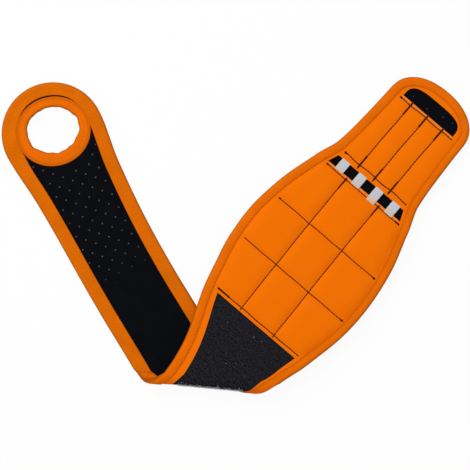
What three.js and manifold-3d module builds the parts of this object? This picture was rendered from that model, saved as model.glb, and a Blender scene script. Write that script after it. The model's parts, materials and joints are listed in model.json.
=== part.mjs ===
// Magnetic tool wristband, laid down with its thumb strap folded under the magnet panel.
// Millimetres and degrees. X runs along the fold, Y away from it, Z up from the surface.

import * as THREE from "three";
import { mergeVertices } from "three/addons/utils/BufferGeometryUtils.js";
import Module from "manifold-3d";

const wasm = await Module();
wasm.setup();

// Layers of the band, through its thickness
const BASE_THICKNESS = 2.2;
const FACE_THICKNESS = 0.8;
const BINDING_TAPE = 0.5;
const LAYER_GAP = 0.3;

// How the band lies
const FOLD_ANGLE = 55;
const FOLD_GAP = 4;
const FOLD_EASE = 0.4;
const HINGE_GAP = 0.5;

// Binding tape on each face, measured in from the edge
const FACE_FLANGE = 5.9;
const LINING_FLANGE = 9.2;
const HOLE_FLANGE = 5.8;
const FLANGE_SPACING = 0.5;

// Lengths along the magnet panel, from the fold to the tip
const LOOP_SECTION = 49.2;
const LOWER_ROW = 35.8;
const MIDDLE_ROW = 34.4;
const UPPER_ROW = 37;
const HEM = 2.1;
const SLOT = 7.1;
const TONGUE = 53;
const TAB_STRAIGHT = 3.9;
const TAB_ROUND = 20.6;

// Widths across the magnet panel
const FOLD_WIDTH = 51;
const FLARE_WIDTH = 59;
const LOOP_END_WIDTH = 86;
const WIDEST = 100.8;
const HEM_WIDTH = 78.4;
const NECK_WIDTH = 66.8;
const TAB_WIDTH = 60.6;

// Where the flare starts past the fold, and where the neck ends past the slot
const FLARE_START = 10;
const NECK_REACH = 9;

// How far the centre line leans to the right at the panel's fold, and to the left along the strap
const PANEL_LEAN = 3.4;
const STRAP_LEAN = 3.4;

// Thumb strap
const STRAP_LENGTH = 180.7;
const STRAP_WIDTH = 56.6;
const STRAP_STRAIGHT = 113;
const HOLE_ACROSS = 35;
const HOLE_ALONG = 30.6;
const HOLE_SHIFT = 2;

// Magnet compartments
const COLUMN = 27.6;
const SEAM = 1;
const MAGNET_LENGTH = 16;
const MAGNET_WIDTH = 14;
const MAGNET_THICKNESS = 1.5;
const CELL_SKIN = 0.7;
const CELL_SHOULDER = 0.9;

// Tool sleeves, keeper tabs and the slot that the tabs cross
const SLEEVE = 13;
const SLEEVE_RISE = 0.6;
const SLOT_MARGIN = 7.8;
const KEEPER_PITCH = 14.2;
const KEEPER_WIDTH = 6.5;
const KEEPER_THICKNESS = 0.9;
const KEEPER_COUNT = 4;

// Loop fastener patch and its orange margins
const PATCH_HEM = 2.6;
const LEFT_MARGIN = 4;
const RIGHT_MARGIN = 1.5;

// End tab: half-moon window in the cover, hook fastener pad under it
const MOON_CHORD = 42;
const MOON_DEPTH = 10.5;
const MOON_SETBACK = 4.2;
const MOON_SQUARENESS = 2.6;
const HOOK_THICKNESS = 1.2;
const HOOK_SETBACK = 1.5;

// How finely curved edges are stepped
const EDGE_STEP = 14;
const ROUND_STEPS = 14;
const HOLE_STEPS = 24;
const FOLD_STEPS = 14;
const MOON_STEPS = 10;
const SLOPE_STEP = 0.5;
const MEETING_PASSES = 30;

// Heights within the band, from the lining side out to the face side
const BASE_LOW = BINDING_TAPE + LAYER_GAP;
const BASE_HIGH = BASE_LOW + BASE_THICKNESS;
const FACE_LOW = BASE_HIGH + LAYER_GAP;
const FACE_HIGH = FACE_LOW + FACE_THICKNESS;
const BAND_THICKNESS = FACE_HIGH + LAYER_GAP + BINDING_TAPE;
const CELL_HIGH = FACE_LOW + MAGNET_THICKNESS + LAYER_GAP + CELL_SKIN;
const SLEEVE_HIGH = FACE_HIGH + SLEEVE_RISE;
const CORE_INSET = BINDING_TAPE + LAYER_GAP;

// Seams and hinge lines along the panel
const HALF_GAP = HINGE_GAP / 2;
const LOWER_END = LOOP_SECTION + LOWER_ROW;
const MIDDLE_END = LOWER_END + MIDDLE_ROW;
const UPPER_SEAM = MIDDLE_END + UPPER_ROW;
const SLOT_START = UPPER_SEAM + HEM;
const UPPER_END = SLOT_START + SLOT;
const TONGUE_END = UPPER_END + TONGUE;
const TAB_CENTRE = TONGUE_END + TAB_STRAIGHT;

// Thumb hole: its edge at any outset, seen from the middle of the eye
const HOLE_TURNS = spaced(0, 2 * Math.PI, (2 * Math.PI) / HOLE_STEPS).slice(0, -1);
function holePoint(angle, outset) {
  const x = HOLE_SHIFT + (HOLE_ALONG / 2 + outset) * Math.cos(angle);
  return new THREE.Vector2(x, (HOLE_ACROSS / 2 + outset) * Math.sin(angle));
}
const HOLE_REACH = Math.max(...HOLE_TURNS.map((angle) => holePoint(angle, HOLE_FLANGE).length()));

// Thumb eye and fold, worked out from what they go round
const EYE_RADIUS = HOLE_REACH + FLANGE_SPACING + LINING_FLANGE;
const THUMB_START = STRAP_LENGTH - EYE_RADIUS;
const FOLD_AXIS_HEIGHT = BAND_THICKNESS + FOLD_GAP / 2;
const FOLD_SLANT = THREE.MathUtils.degToRad(FOLD_ANGLE);
const FOLD_ARC = (Math.PI * (FOLD_GAP + BAND_THICKNESS)) / 2;
const FOLD_SHIFT = FOLD_ARC / Math.tan(FOLD_SLANT);

const LEFT = 1;
const RIGHT = -1;

// A smooth curve through [x, y] stations, level at both ends
function smoothEdge(stations) {
  const last = stations.length - 1;
  const slopes = stations.map((station, i) => {
    if (i === 0 || i === last) return 0;
    const [before, after] = [stations[i - 1], stations[i + 1]];
    return (after[1] - before[1]) / (after[0] - before[0]);
  });
  return (x) => {
    if (x <= stations[0][0]) return stations[0][1];
    if (x >= stations[last][0]) return stations[last][1];
    const i = stations.findIndex(([end]) => x < end) - 1;
    const [x0, y0] = stations[i];
    const [x1, y1] = stations[i + 1];
    const span = x1 - x0;
    const t = (x - x0) / span;
    const ease = t * t * (3 - 2 * t);
    const bend = t * (1 - t) * (slopes[i] * (1 - t) - slopes[i + 1] * t) * span;
    return y0 + (y1 - y0) * ease + bend;
  };
}

// The two limbs of the band, each along its own x from the fold: the panel lies face up
// and the strap face down
const panel = {
  slant: FOLD_SLANT,
  shift: FOLD_SHIFT / 2,
  edge: smoothEdge([
    [-FOLD_WIDTH / 2 / Math.tan(FOLD_SLANT), FOLD_WIDTH / 2],
    [FLARE_START, FLARE_WIDTH / 2],
    [LOOP_SECTION, LOOP_END_WIDTH / 2],
    [(LOWER_END + MIDDLE_END) / 2, WIDEST / 2],
    [UPPER_SEAM, HEM_WIDTH / 2],
    [UPPER_END + NECK_REACH, NECK_WIDTH / 2],
    [TAB_CENTRE, TAB_WIDTH / 2],
  ]),
  lean: smoothEdge([
    [0, -PANEL_LEAN],
    [UPPER_SEAM, 0],
  ]),
  centre: TAB_CENTRE,
  round: TAB_ROUND,
  half: TAB_WIDTH / 2,
  level: (height) => height,
};
const strap = {
  slant: Math.PI - FOLD_SLANT,
  shift: -FOLD_SHIFT / 2,
  edge: smoothEdge([
    [0, STRAP_WIDTH / 2],
    [STRAP_STRAIGHT, STRAP_WIDTH / 2],
    [STRAP_LENGTH, EYE_RADIUS],
  ]),
  lean: smoothEdge([
    [STRAP_STRAIGHT, STRAP_LEAN],
    [STRAP_LENGTH, 0],
  ]),
  centre: STRAP_LENGTH,
  round: EYE_RADIUS,
  half: EYE_RADIUS,
  level: (height) => BAND_THICKNESS - height,
};

// Half width at x, drawn in from the edge by an inset square to the edge
function halfWidth(limb, x, inset) {
  const slope = (limb.edge(x + SLOPE_STEP) - limb.edge(x - SLOPE_STEP)) / (2 * SLOPE_STEP);
  return limb.edge(x) - inset * Math.hypot(1, slope);
}

// A station gives the point at any inset from the edge: on a side, round an end, or where
// that inset line comes to the fold
function sideStation(limb, side, x) {
  return (inset) => new THREE.Vector2(x, limb.lean(x) + side * halfWidth(limb, x, inset));
}

function endStation(limb, angle) {
  return (inset) =>
    new THREE.Vector2(
      limb.centre + (limb.round - inset) * Math.cos(angle),
      (limb.half - inset) * Math.sin(angle),
    );
}

function foldStation(limb, side) {
  return (inset) => {
    let point = new THREE.Vector2();
    for (let pass = 0; pass < MEETING_PASSES; pass++) {
      point = sideStation(limb, side, point.x)(inset);
      point.x = (HALF_GAP - point.y * Math.cos(limb.slant)) / Math.sin(limb.slant);
    }
    return point;
  };
}

function spaced(from, to, step) {
  const count = Math.max(1, Math.ceil(Math.abs(to - from) / step));
  return Array.from({ length: count + 1 }, (unused, i) => from + ((to - from) * i) / count);
}

// Runs of stations: along a side, from the fold along a side, and round an end
function sideRun(limb, side, from, to) {
  return spaced(from, to, EDGE_STEP).map((x) => sideStation(limb, side, x));
}

function foldRun(limb, side, to) {
  const start = foldStation(limb, side);
  const from = Math.max(start(0).x, start(LINING_FLANGE).x) + EDGE_STEP / 2;
  return [start, ...sideRun(limb, side, from, to)];
}

function endRun(limb, from) {
  const turns = spaced(Math.PI / 2, -Math.PI / 2, Math.PI / ROUND_STEPS);
  return [
    ...sideRun(limb, LEFT, from, limb.centre).slice(0, -1),
    ...turns.map((angle) => endStation(limb, angle)),
    ...sideRun(limb, RIGHT, limb.centre, from).slice(1),
  ];
}

// Two runs make an outline, each at its own inset
function outline(leftRun, rightRun, leftInset = CORE_INSET, rightInset = leftInset) {
  const left = leftRun.map((station) => station(leftInset));
  const right = rightRun.map((station) => station(rightInset));
  return [...left, ...right.reverse()];
}

// A closed body through matching rings of points, capped by the flat shape of its ends
function skin(rings, capShape, joined = false) {
  const size = rings[0].length;
  const faces = [];
  const links = joined ? rings.length : rings.length - 1;
  for (let r = 0; r < links; r++) {
    const here = r * size;
    const next = ((r + 1) % rings.length) * size;
    for (let i = 0; i < size; i++) {
      const j = (i + 1) % size;
      faces.push([here + i, next + j, next + i], [here + i, here + j, next + j]);
    }
  }
  if (!joined) {
    const cap = THREE.ShapeUtils.triangulateShape(capShape, []);
    const end = (rings.length - 1) * size;
    const clockwise = THREE.ShapeUtils.isClockWise(capShape);
    cap.forEach(([a, b, c]) => {
      const [p, q] = clockwise ? [c, b] : [b, c];
      faces.push([a, q, p], [end + a, end + p, end + q]);
    });
  }
  const points = rings.flat();
  const volume = faces.reduce((sum, [a, b, c]) => {
    return sum + points[a].clone().cross(points[b]).dot(points[c]);
  }, 0);
  const geometry = new THREE.BufferGeometry().setFromPoints(points);
  geometry.setIndex(faces.flatMap((face) => (volume < 0 ? [face[0], face[2], face[1]] : face)));
  return geometry;
}

// A flat layer of a limb between two heights
function layer(limb, points, low, high, holes = []) {
  const shape = new THREE.Shape(points);
  shape.holes = holes.map((hole) => new THREE.Path(hole));
  const levels = [limb.level(low), limb.level(high)];
  const geometry = new THREE.ExtrudeGeometry(shape, {
    depth: Math.abs(levels[1] - levels[0]),
    bevelEnabled: false,
  });
  return geometry.translate(0, 0, Math.min(...levels));
}

// Tape folded round an edge: a wall with a flange on the lining and one on the face
function tapeSection(liningFlange, faceFlange) {
  const top = BAND_THICKNESS - BINDING_TAPE;
  return [
    new THREE.Vector2(0, 0),
    new THREE.Vector2(liningFlange, 0),
    new THREE.Vector2(liningFlange, BINDING_TAPE),
    new THREE.Vector2(BINDING_TAPE, BINDING_TAPE),
    new THREE.Vector2(BINDING_TAPE, top),
    new THREE.Vector2(faceFlange, top),
    new THREE.Vector2(faceFlange, BAND_THICKNESS),
    new THREE.Vector2(0, BAND_THICKNESS),
  ];
}

function binding(limb, run, section = tapeSection(LINING_FLANGE, FACE_FLANGE), joined = false) {
  const rings = run.map((station) =>
    section.map(({ x: inset, y: height }) => {
      const point = station(inset);
      return new THREE.Vector3(point.x, point.y, limb.level(height));
    }),
  );
  return skin(rings, section, joined);
}

// The fold carries a section round half a turn, from the panel's edge to the strap's
function foldedSection(section) {
  const across = (limb, side, inset) => {
    const point = foldStation(limb, side)(inset);
    return limb.shift + point.x * Math.cos(limb.slant) - point.y * Math.sin(limb.slant);
  };
  const rings = spaced(0, Math.PI, Math.PI / FOLD_STEPS).map((angle) =>
    section.map(({ side, inset, height }) => {
      const radius = FOLD_GAP / 2 + height;
      const turned = angle / Math.PI;
      const x = across(panel, side, inset) * (1 - turned) + across(strap, side, inset) * turned;
      return new THREE.Vector3(x, -radius * Math.sin(angle), radius * Math.cos(angle));
    }),
  );
  const capShape = section.map(({ side, inset, height }) => {
    return new THREE.Vector2(across(panel, side, inset), height);
  });
  return skin(rings, capShape);
}

function foldedLayer(low, high) {
  const corner = (side, height) => ({ side, inset: CORE_INSET + FOLD_EASE, height });
  return foldedSection([
    corner(LEFT, low),
    corner(RIGHT, low),
    corner(RIGHT, high),
    corner(LEFT, high),
  ]);
}

function foldedBinding(side) {
  const section = tapeSection(LINING_FLANGE, FACE_FLANGE);
  return foldedSection(section.map((point) => ({ side, inset: point.x, height: point.y })));
}

// Joins and cuts
function toSolid(geometry) {
  const bare = geometry.clone();
  bare.deleteAttribute("normal");
  bare.deleteAttribute("uv");
  const merged = mergeVertices(bare);
  const vertProperties = new Float32Array(merged.attributes.position.array);
  const triVerts = new Uint32Array(merged.index.array);
  return new wasm.Manifold(new wasm.Mesh({ numProp: 3, vertProperties, triVerts }));
}

function toGeometry(solid) {
  const { numProp, vertProperties, triVerts } = solid.getMesh();
  const geometry = new THREE.BufferGeometry();
  const stride = new THREE.InterleavedBuffer(vertProperties, numProp);
  geometry.setAttribute("position", new THREE.InterleavedBufferAttribute(stride, 3, 0));
  geometry.setIndex(new THREE.BufferAttribute(triVerts, 1));
  return geometry;
}

// A raised block on a cover, with a sloped shoulder round its top
function raisedBlock(shapeAt, high) {
  const rings = [
    [0, FACE_LOW],
    [0, high - CELL_SHOULDER / 2],
    [CELL_SHOULDER, high],
  ];
  const bodies = rings.map(([inset, height]) =>
    shapeAt(inset).map((point) => new THREE.Vector3(point.x, point.y, height)),
  );
  return skin(bodies, shapeAt(0));
}

function raisedCover(sheet, blocks, cuts) {
  const raised = blocks.reduce((solid, block) => solid.add(toSolid(block)), toSolid(sheet));
  return toGeometry(cuts.reduce((solid, cut) => solid.subtract(toSolid(cut)), raised));
}

// A strip of the panel between two lines that each give y at x
function strip(from, to, lowLine, highLine, inset) {
  const xs = spaced(from + inset, to - inset, EDGE_STEP);
  return [
    ...xs.map((x) => new THREE.Vector2(x, highLine(x) - inset)),
    ...xs.reverse().map((x) => new THREE.Vector2(x, lowLine(x) + inset)),
  ];
}

// Lines along the panel: at a set distance from its centre line, or along the binding
const dividerLine = (offset) => (x) => panel.lean(x) + offset;
const bindingLine = (side) => (x) => sideStation(panel, side, x)(FACE_FLANGE + SEAM).y;

// The three compartments of a row, from the right column to the left
function compartments(from, to) {
  const divider = COLUMN / 2;
  const lines = [
    [bindingLine(RIGHT), dividerLine(-divider - SEAM)],
    [dividerLine(-divider + SEAM), dividerLine(divider - SEAM)],
    [dividerLine(divider + SEAM), bindingLine(LEFT)],
  ];
  return lines.map(([low, high]) => {
    const shapeAt = (inset) => strip(from + SEAM, to - SEAM, low, high, inset);
    const floor = Math.max(low(from + SEAM), low(to - SEAM));
    const ceiling = Math.min(high(from + SEAM), high(to - SEAM));
    const centre = new THREE.Vector2((from + to) / 2, (floor + ceiling) / 2);
    return { shapeAt, centre };
  });
}

function magnetBody(centre, clearance = 0) {
  const bottom = FACE_LOW - clearance;
  const height = MAGNET_THICKNESS + 2 * clearance;
  const body = new THREE.BoxGeometry(
    MAGNET_LENGTH + 2 * clearance,
    MAGNET_WIDTH + 2 * clearance,
    height,
  );
  return body.translate(centre.x, centre.y, bottom + height / 2);
}

function rowCover(sheetPoints, cells) {
  const sheet = layer(panel, sheetPoints, FACE_LOW, FACE_HIGH);
  const blocks = cells.map(({ shapeAt }) => raisedBlock(shapeAt, CELL_HIGH));
  const pockets = cells.map(({ centre }) => magnetBody(centre, LAYER_GAP));
  return raisedCover(sheet, blocks, pockets);
}

// Materials
function finish(color, roughness, metalness = 0) {
  return () => new THREE.MeshStandardMaterial({ color, roughness, metalness });
}
const neoprene = finish("#0b0b0e", 0.9);
const loopFabric = finish("#1d1c21", 1);
const orangeFabric = finish("#e96c08", 0.85);
const bindingTape = finish("#e2690c", 0.8);
const elastic = finish("#c6c9cc", 0.8);
const hookTape = finish("#141416", 0.7);
const magnetSteel = finish("#9a9ca0", 0.35, 1);

// Groups: the strap on the surface, the fold above it, and the panel tilted about the fold
// until its tip comes down to the surface
const wristband = new THREE.Group();
const laid = new THREE.Group();
const strapLimb = new THREE.Group();
const foldLine = new THREE.Group();
const panelTilt = new THREE.Group();
const panelLimb = new THREE.Group();
wristband.add(laid);
laid.add(strapLimb, foldLine);
foldLine.add(panelTilt);
panelTilt.add(panelLimb);

const tipReach =
  TAB_CENTRE * Math.sin(FOLD_SLANT) +
  Math.hypot(TAB_ROUND * Math.sin(FOLD_SLANT), (TAB_WIDTH / 2) * Math.cos(FOLD_SLANT));
const tilt =
  Math.asin(FOLD_AXIS_HEIGHT / Math.hypot(tipReach, FOLD_GAP / 2)) +
  Math.atan2(FOLD_GAP / 2, tipReach);

strapLimb.position.set(strap.shift, 0, 0);
strapLimb.rotation.z = strap.slant;
foldLine.position.set(0, 0, FOLD_AXIS_HEIGHT);
panelTilt.rotation.x = -tilt;
panelLimb.position.set(panel.shift, 0, FOLD_GAP / 2);
panelLimb.rotation.z = panel.slant;

function piece(group, name, geometry, material) {
  const mesh = new THREE.Mesh(geometry, material());
  mesh.name = name;
  group.add(mesh);
}

// Thumb end: the eye of the strap with its bound hole
function thumbEnd() {
  const run = endRun(strap, THUMB_START + HALF_GAP);
  const eye = new THREE.Vector2(STRAP_LENGTH, 0);
  const holeRun = HOLE_TURNS.map((angle) => (outset) => holePoint(angle, outset).add(eye));
  const points = run.map((station) => station(CORE_INSET));
  const hole = holeRun.map((station) => station(CORE_INSET));
  const ring = tapeSection(HOLE_FLANGE, HOLE_FLANGE);
  piece(strapLimb, "thumb_base", layer(strap, points, BASE_LOW, BASE_HIGH, [hole]), neoprene);
  piece(strapLimb, "thumb_loop_face", layer(strap, points, FACE_LOW, FACE_HIGH, [hole]), loopFabric);
  piece(strapLimb, "thumb_edge_binding", binding(strap, run), bindingTape);
  piece(strapLimb, "thumb_hole_binding", binding(strap, holeRun, ring, true), bindingTape);
}

// Strap between the fold and the thumb end
function strapRun() {
  const end = THUMB_START - HALF_GAP;
  const left = foldRun(strap, LEFT, end);
  const right = foldRun(strap, RIGHT, end);
  const points = outline(left, right);
  piece(strapLimb, "strap_base", layer(strap, points, BASE_LOW, BASE_HIGH), neoprene);
  piece(strapLimb, "strap_loop_face", layer(strap, points, FACE_LOW, FACE_HIGH), loopFabric);
  piece(strapLimb, "strap_binding_left", binding(strap, left), bindingTape);
  piece(strapLimb, "strap_binding_right", binding(strap, right), bindingTape);
}

// The bend itself
function fold() {
  piece(foldLine, "fold_base", foldedLayer(BASE_LOW, BASE_HIGH), neoprene);
  piece(foldLine, "fold_loop_face", foldedLayer(FACE_LOW, FACE_HIGH), loopFabric);
  piece(foldLine, "fold_binding_left", foldedBinding(LEFT), bindingTape);
  piece(foldLine, "fold_binding_right", foldedBinding(RIGHT), bindingTape);
}

// Loop fastener patch between its orange margins
function loopPatch() {
  const end = LOOP_SECTION - PATCH_HEM - HALF_GAP;
  const sides = [
    ["loop_margin_left", foldRun(panel, LEFT, end), FACE_FLANGE + LEFT_MARGIN],
    ["loop_margin_right", foldRun(panel, RIGHT, end), FACE_FLANGE + RIGHT_MARGIN],
  ];
  sides.forEach(([name, run, inner]) => {
    const points = outline(run, run, CORE_INSET, inner - LAYER_GAP);
    piece(panelLimb, name, layer(panel, points, FACE_LOW, FACE_HIGH), orangeFabric);
  });
  const [left, right] = sides;
  const patch = outline(left[1], right[1], left[2], right[2]);
  piece(panelLimb, "loop_patch", layer(panel, patch, FACE_LOW, FACE_HIGH), loopFabric);
}

// A row of magnet compartments, on its stretch of base between its two edge bindings
function magnetRow(name, left, right, sheetPoints, from, to) {
  const cells = compartments(from, to);
  const base = layer(panel, outline(left, right), BASE_LOW, BASE_HIGH);
  piece(panelLimb, `${name}_base`, base, neoprene);
  piece(panelLimb, `${name}_cover`, rowCover(sheetPoints, cells), orangeFabric);
  piece(panelLimb, `${name}_binding_left`, binding(panel, left), bindingTape);
  piece(panelLimb, `${name}_binding_right`, binding(panel, right), bindingTape);
  ["right", "centre", "left"].forEach((column, i) => {
    piece(panelLimb, `${name}_magnet_${column}`, magnetBody(cells[i].centre), magnetSteel);
  });
}

function lowerRow() {
  const end = LOWER_END - HALF_GAP;
  const start = LOOP_SECTION - PATCH_HEM + HALF_GAP;
  const sheet = outline(sideRun(panel, LEFT, start, end), sideRun(panel, RIGHT, start, end));
  const left = foldRun(panel, LEFT, end);
  const right = foldRun(panel, RIGHT, end);
  magnetRow("lower_row", left, right, sheet, LOOP_SECTION, LOWER_END);
}

function middleRow() {
  const left = sideRun(panel, LEFT, LOWER_END + HALF_GAP, MIDDLE_END - HALF_GAP);
  const right = sideRun(panel, RIGHT, LOWER_END + HALF_GAP, MIDDLE_END - HALF_GAP);
  magnetRow("middle_row", left, right, outline(left, right), LOWER_END, MIDDLE_END);
}

function upperRow() {
  const end = UPPER_END - HALF_GAP;
  const left = sideRun(panel, LEFT, MIDDLE_END + HALF_GAP, end);
  const right = sideRun(panel, RIGHT, MIDDLE_END + HALF_GAP, end);
  const slotEdge = (side, x) => sideStation(panel, side, x)(SLOT_MARGIN);
  const sheet = [
    ...left.map((station) => station(CORE_INSET)),
    slotEdge(LEFT, end),
    slotEdge(LEFT, SLOT_START),
    slotEdge(RIGHT, SLOT_START),
    slotEdge(RIGHT, end),
    ...right.map((station) => station(CORE_INSET)).reverse(),
  ];
  magnetRow("upper_row", left, right, sheet, MIDDLE_END, UPPER_SEAM);
}

// Elastic tabs sewn to the hem of the upper row, across the slot
function keeperTabs() {
  const from = UPPER_SEAM - SEAM + LAYER_GAP;
  const to = UPPER_END - LAYER_GAP;
  const bottom = FACE_HIGH + LAYER_GAP;
  for (let i = 0; i < KEEPER_COUNT; i++) {
    const y = panel.lean(UPPER_SEAM) + (i - (KEEPER_COUNT - 1) / 2) * KEEPER_PITCH;
    const tab = new THREE.BoxGeometry(to - from, KEEPER_WIDTH, KEEPER_THICKNESS);
    tab.translate((from + to) / 2, y, bottom + KEEPER_THICKNESS / 2);
    piece(panelLimb, `keeper_tab_${i + 1}`, tab, elastic);
  }
}

// Tongue with its four flat sleeves
function tongue() {
  const [from, to] = [UPPER_END + HALF_GAP, TONGUE_END - HALF_GAP];
  const left = sideRun(panel, LEFT, from, to);
  const right = sideRun(panel, RIGHT, from, to);
  const dividers = [-SLEEVE, 0, SLEEVE];
  const lines = [
    [bindingLine(RIGHT), dividerLine(dividers[0] - SEAM)],
    [dividerLine(dividers[0] + SEAM), dividerLine(dividers[1] - SEAM)],
    [dividerLine(dividers[1] + SEAM), dividerLine(dividers[2] - SEAM)],
    [dividerLine(dividers[2] + SEAM), bindingLine(LEFT)],
  ];
  const blocks = lines.map(([low, high]) => {
    const shapeAt = (inset) => strip(UPPER_END + HEM, TONGUE_END - HEM, low, high, inset);
    return raisedBlock(shapeAt, SLEEVE_HIGH);
  });
  const points = outline(left, right);
  const sheet = layer(panel, points, FACE_LOW, FACE_HIGH);
  piece(panelLimb, "tongue_base", layer(panel, points, BASE_LOW, BASE_HIGH), neoprene);
  piece(panelLimb, "tongue_sleeves", raisedCover(sheet, blocks, []), orangeFabric);
  piece(panelLimb, "tongue_binding_left", binding(panel, left), bindingTape);
  piece(panelLimb, "tongue_binding_right", binding(panel, right), bindingTape);
}

// A half-moon with its straight side across the panel at a given x
function halfMoon(start, depth, half, squareness = 2) {
  const rounded = (value) => Math.sign(value) * Math.abs(value) ** (2 / squareness);
  return spaced(-Math.PI / 2, Math.PI / 2, Math.PI / MOON_STEPS).map((angle) => {
    const along = depth * Math.max(0, rounded(Math.cos(angle)));
    return new THREE.Vector2(start + along, half * rounded(Math.sin(angle)));
  });
}

// End tab: half-moon window in the cover, hook pad let into the lining
function endTab() {
  const start = TONGUE_END + HALF_GAP;
  const run = endRun(panel, start);
  const core = run.map((station) => station(CORE_INSET));
  const moon = halfMoon(TONGUE_END + MOON_SETBACK, MOON_DEPTH, MOON_CHORD / 2, MOON_SQUARENESS);
  const hookShape = (inset) => {
    const from = start + HOOK_SETBACK + inset - LINING_FLANGE;
    return halfMoon(from, TAB_CENTRE + TAB_ROUND - inset - from, TAB_WIDTH / 2 - inset);
  };
  const pad = layer(panel, hookShape(LINING_FLANGE + LAYER_GAP), 0, HOOK_THICKNESS);
  const recess = layer(panel, hookShape(LINING_FLANGE), 0, HOOK_THICKNESS + LAYER_GAP);
  const base = toSolid(layer(panel, core, BASE_LOW, BASE_HIGH)).subtract(toSolid(recess));
  piece(panelLimb, "tab_base", toGeometry(base), neoprene);
  piece(panelLimb, "tab_cover", layer(panel, core, FACE_LOW, FACE_HIGH, [moon]), orangeFabric);
  piece(panelLimb, "tab_binding", binding(panel, run), bindingTape);
  piece(panelLimb, "hook_pad", pad, hookTape);
}

thumbEnd();
strapRun();
fold();
loopPatch();
lowerRow();
middleRow();
upperRow();
keeperTabs();
tongue();
endTab();

// The origin is under the middle of the part, on the surface that it lies on
const box = new THREE.Box3().setFromObject(wristband, true);
const middle = box.getCenter(new THREE.Vector3());
laid.position.set(-middle.x, -middle.y, -box.min.z);

export default wristband;
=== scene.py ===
# Magnetic tool wristband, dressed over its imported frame: a perforated neoprene base, loop fabric
# on the outside, an orange cover sewn into magnet compartments and tool sleeves, and bound edges.
# Sizes are in millimetres, and become metres where a mesh is made.

import json
import math

import bmesh
import bpy
import numpy as np
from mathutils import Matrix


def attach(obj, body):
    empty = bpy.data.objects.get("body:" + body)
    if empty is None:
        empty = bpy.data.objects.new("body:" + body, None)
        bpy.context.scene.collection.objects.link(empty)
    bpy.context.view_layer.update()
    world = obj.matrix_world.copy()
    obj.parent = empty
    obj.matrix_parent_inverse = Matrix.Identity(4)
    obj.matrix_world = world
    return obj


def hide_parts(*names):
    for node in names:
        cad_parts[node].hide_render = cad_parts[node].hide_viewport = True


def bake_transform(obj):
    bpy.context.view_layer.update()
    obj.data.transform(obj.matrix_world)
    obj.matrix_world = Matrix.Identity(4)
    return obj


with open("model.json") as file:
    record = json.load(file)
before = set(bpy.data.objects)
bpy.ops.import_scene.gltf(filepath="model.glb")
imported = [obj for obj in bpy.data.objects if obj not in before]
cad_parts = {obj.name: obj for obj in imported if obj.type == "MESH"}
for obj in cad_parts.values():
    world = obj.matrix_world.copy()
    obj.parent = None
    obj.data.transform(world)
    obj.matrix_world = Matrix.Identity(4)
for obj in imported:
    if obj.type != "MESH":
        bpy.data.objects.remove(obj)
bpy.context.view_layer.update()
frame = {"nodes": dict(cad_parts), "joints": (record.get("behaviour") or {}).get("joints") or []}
MM = 0.001
LEFT = 1
RIGHT = -1
HANDS = {"left": LEFT, "right": RIGHT}
UP = np.array((0.0, 0.0, 1.0))

# Heights within the band, from the lining side out to the face side
BASE_LOW = 0.8
BASE_HIGH = 3.0
FACE_LOW = 3.3
LOOP_HIGH = 3.95
FACE_HIGH = 4.1
COVER_HIGH = 4.2
CLOTH = 0.7
BASE_LAYER = (BASE_LOW, BASE_HIGH)
LOOP_LAYER = (FACE_LOW, LOOP_HIGH)
MARGIN_LAYER = (LOOP_HIGH, COVER_HIGH)

# The fold: the clear radius inside it, and how far it stands out past a half circle in its middle
# and at its upper and lower quarter, where its hinges would leave it hollow when it opens
FOLD_BORE = 2.0
FOLD_BULGE = 1.1
FOLD_QUARTERS = (0.4, 1.2)

# Outline of the magnet panel
LOOP_SECTION = 49.2
UPPER_SEAM = 156.4
HEM = 2.1
TAB_STRAIGHT = 3.9
TAB_ROUND = 20.6
FOLD_WIDTH = 51
FLARE_WIDTH = 59
LOOP_END_WIDTH = 86
WIDEST = 100.8
HEM_WIDTH = 78.4
NECK_WIDTH = 66.8
TAB_WIDTH = 60.6
FLARE_START = 10
NECK_REACH = 9
PANEL_LEAN = 3.4
TIP_SQUARENESS = 2.15

# Where the panel's edge stands out from its smooth curve: the side, how far, its middle and reach
PANEL_SWELLS = (
    (RIGHT, 1.0, 24, 8), (RIGHT, 0.45, 75, 16), (LEFT, 0.4, 75, 10), (RIGHT, 1.45, 135, 19),
    (LEFT, 0.75, 137, 15), (RIGHT, 0.35, 202, 18), (LEFT, 0.4, 204, 18),
)

# Outline of the thumb strap
STRAP_LENGTH = 180.7
STRAP_WIDTH = 56.6
STRAP_STRAIGHT = 100
STRAP_LEAN = 3.4
FOLD_LEAN = 2
FOLD_LEAN_END = 65
SHOULDER = 145
SHOULDER_WIDTH = 59.9
SHOULDER_LEAN = 1.95
EYE_LEAN = 0.5
THUMB_LEAD = 30

# Binding tape: its width on each face, its rounded edge and the dent of its stitching
FACE_FLANGE = 5.9
LINING_FLANGE = 9.2
TAPE_ROUND = 2.0
TAPE_SEAM = 5.1
TAPE_DENT = 0.18
TAPE_LIP = 0.3
CORE_INSET = 1.0

# Thumb hole and the tape ring round it: where each is from the eye's centre, its mean radius, how
# far it is drawn out to an oval and the way that the oval points
HOLE_OFFSET = (2.15, -0.66)
HOLE_RADIUS = 15.8
HOLE_OVAL = 1.1
RING_OFFSET = (1.18, -0.44)
RING_RADIUS = 23.5
RING_OVAL = 0.92
OVAL_TURN = math.radians(76)
RING_FACE_WIDTH = 6.2
RING_SEAM_SHARE = 0.58

# The gathers of the hole's edge: how many go round, their depth and where they start, in degrees
PUCKERS = (
    (3, 0.1, -99), (4, 0.14, 44), (5, 0.18, 179), (6, 0.08, 124), (7, 0.1, 10), (10, 0.11, 124),
    (11, 0.08, -77), (13, 0.1, 112), (14, 0.09, -98), (17, 0.11, 111),
)

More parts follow.
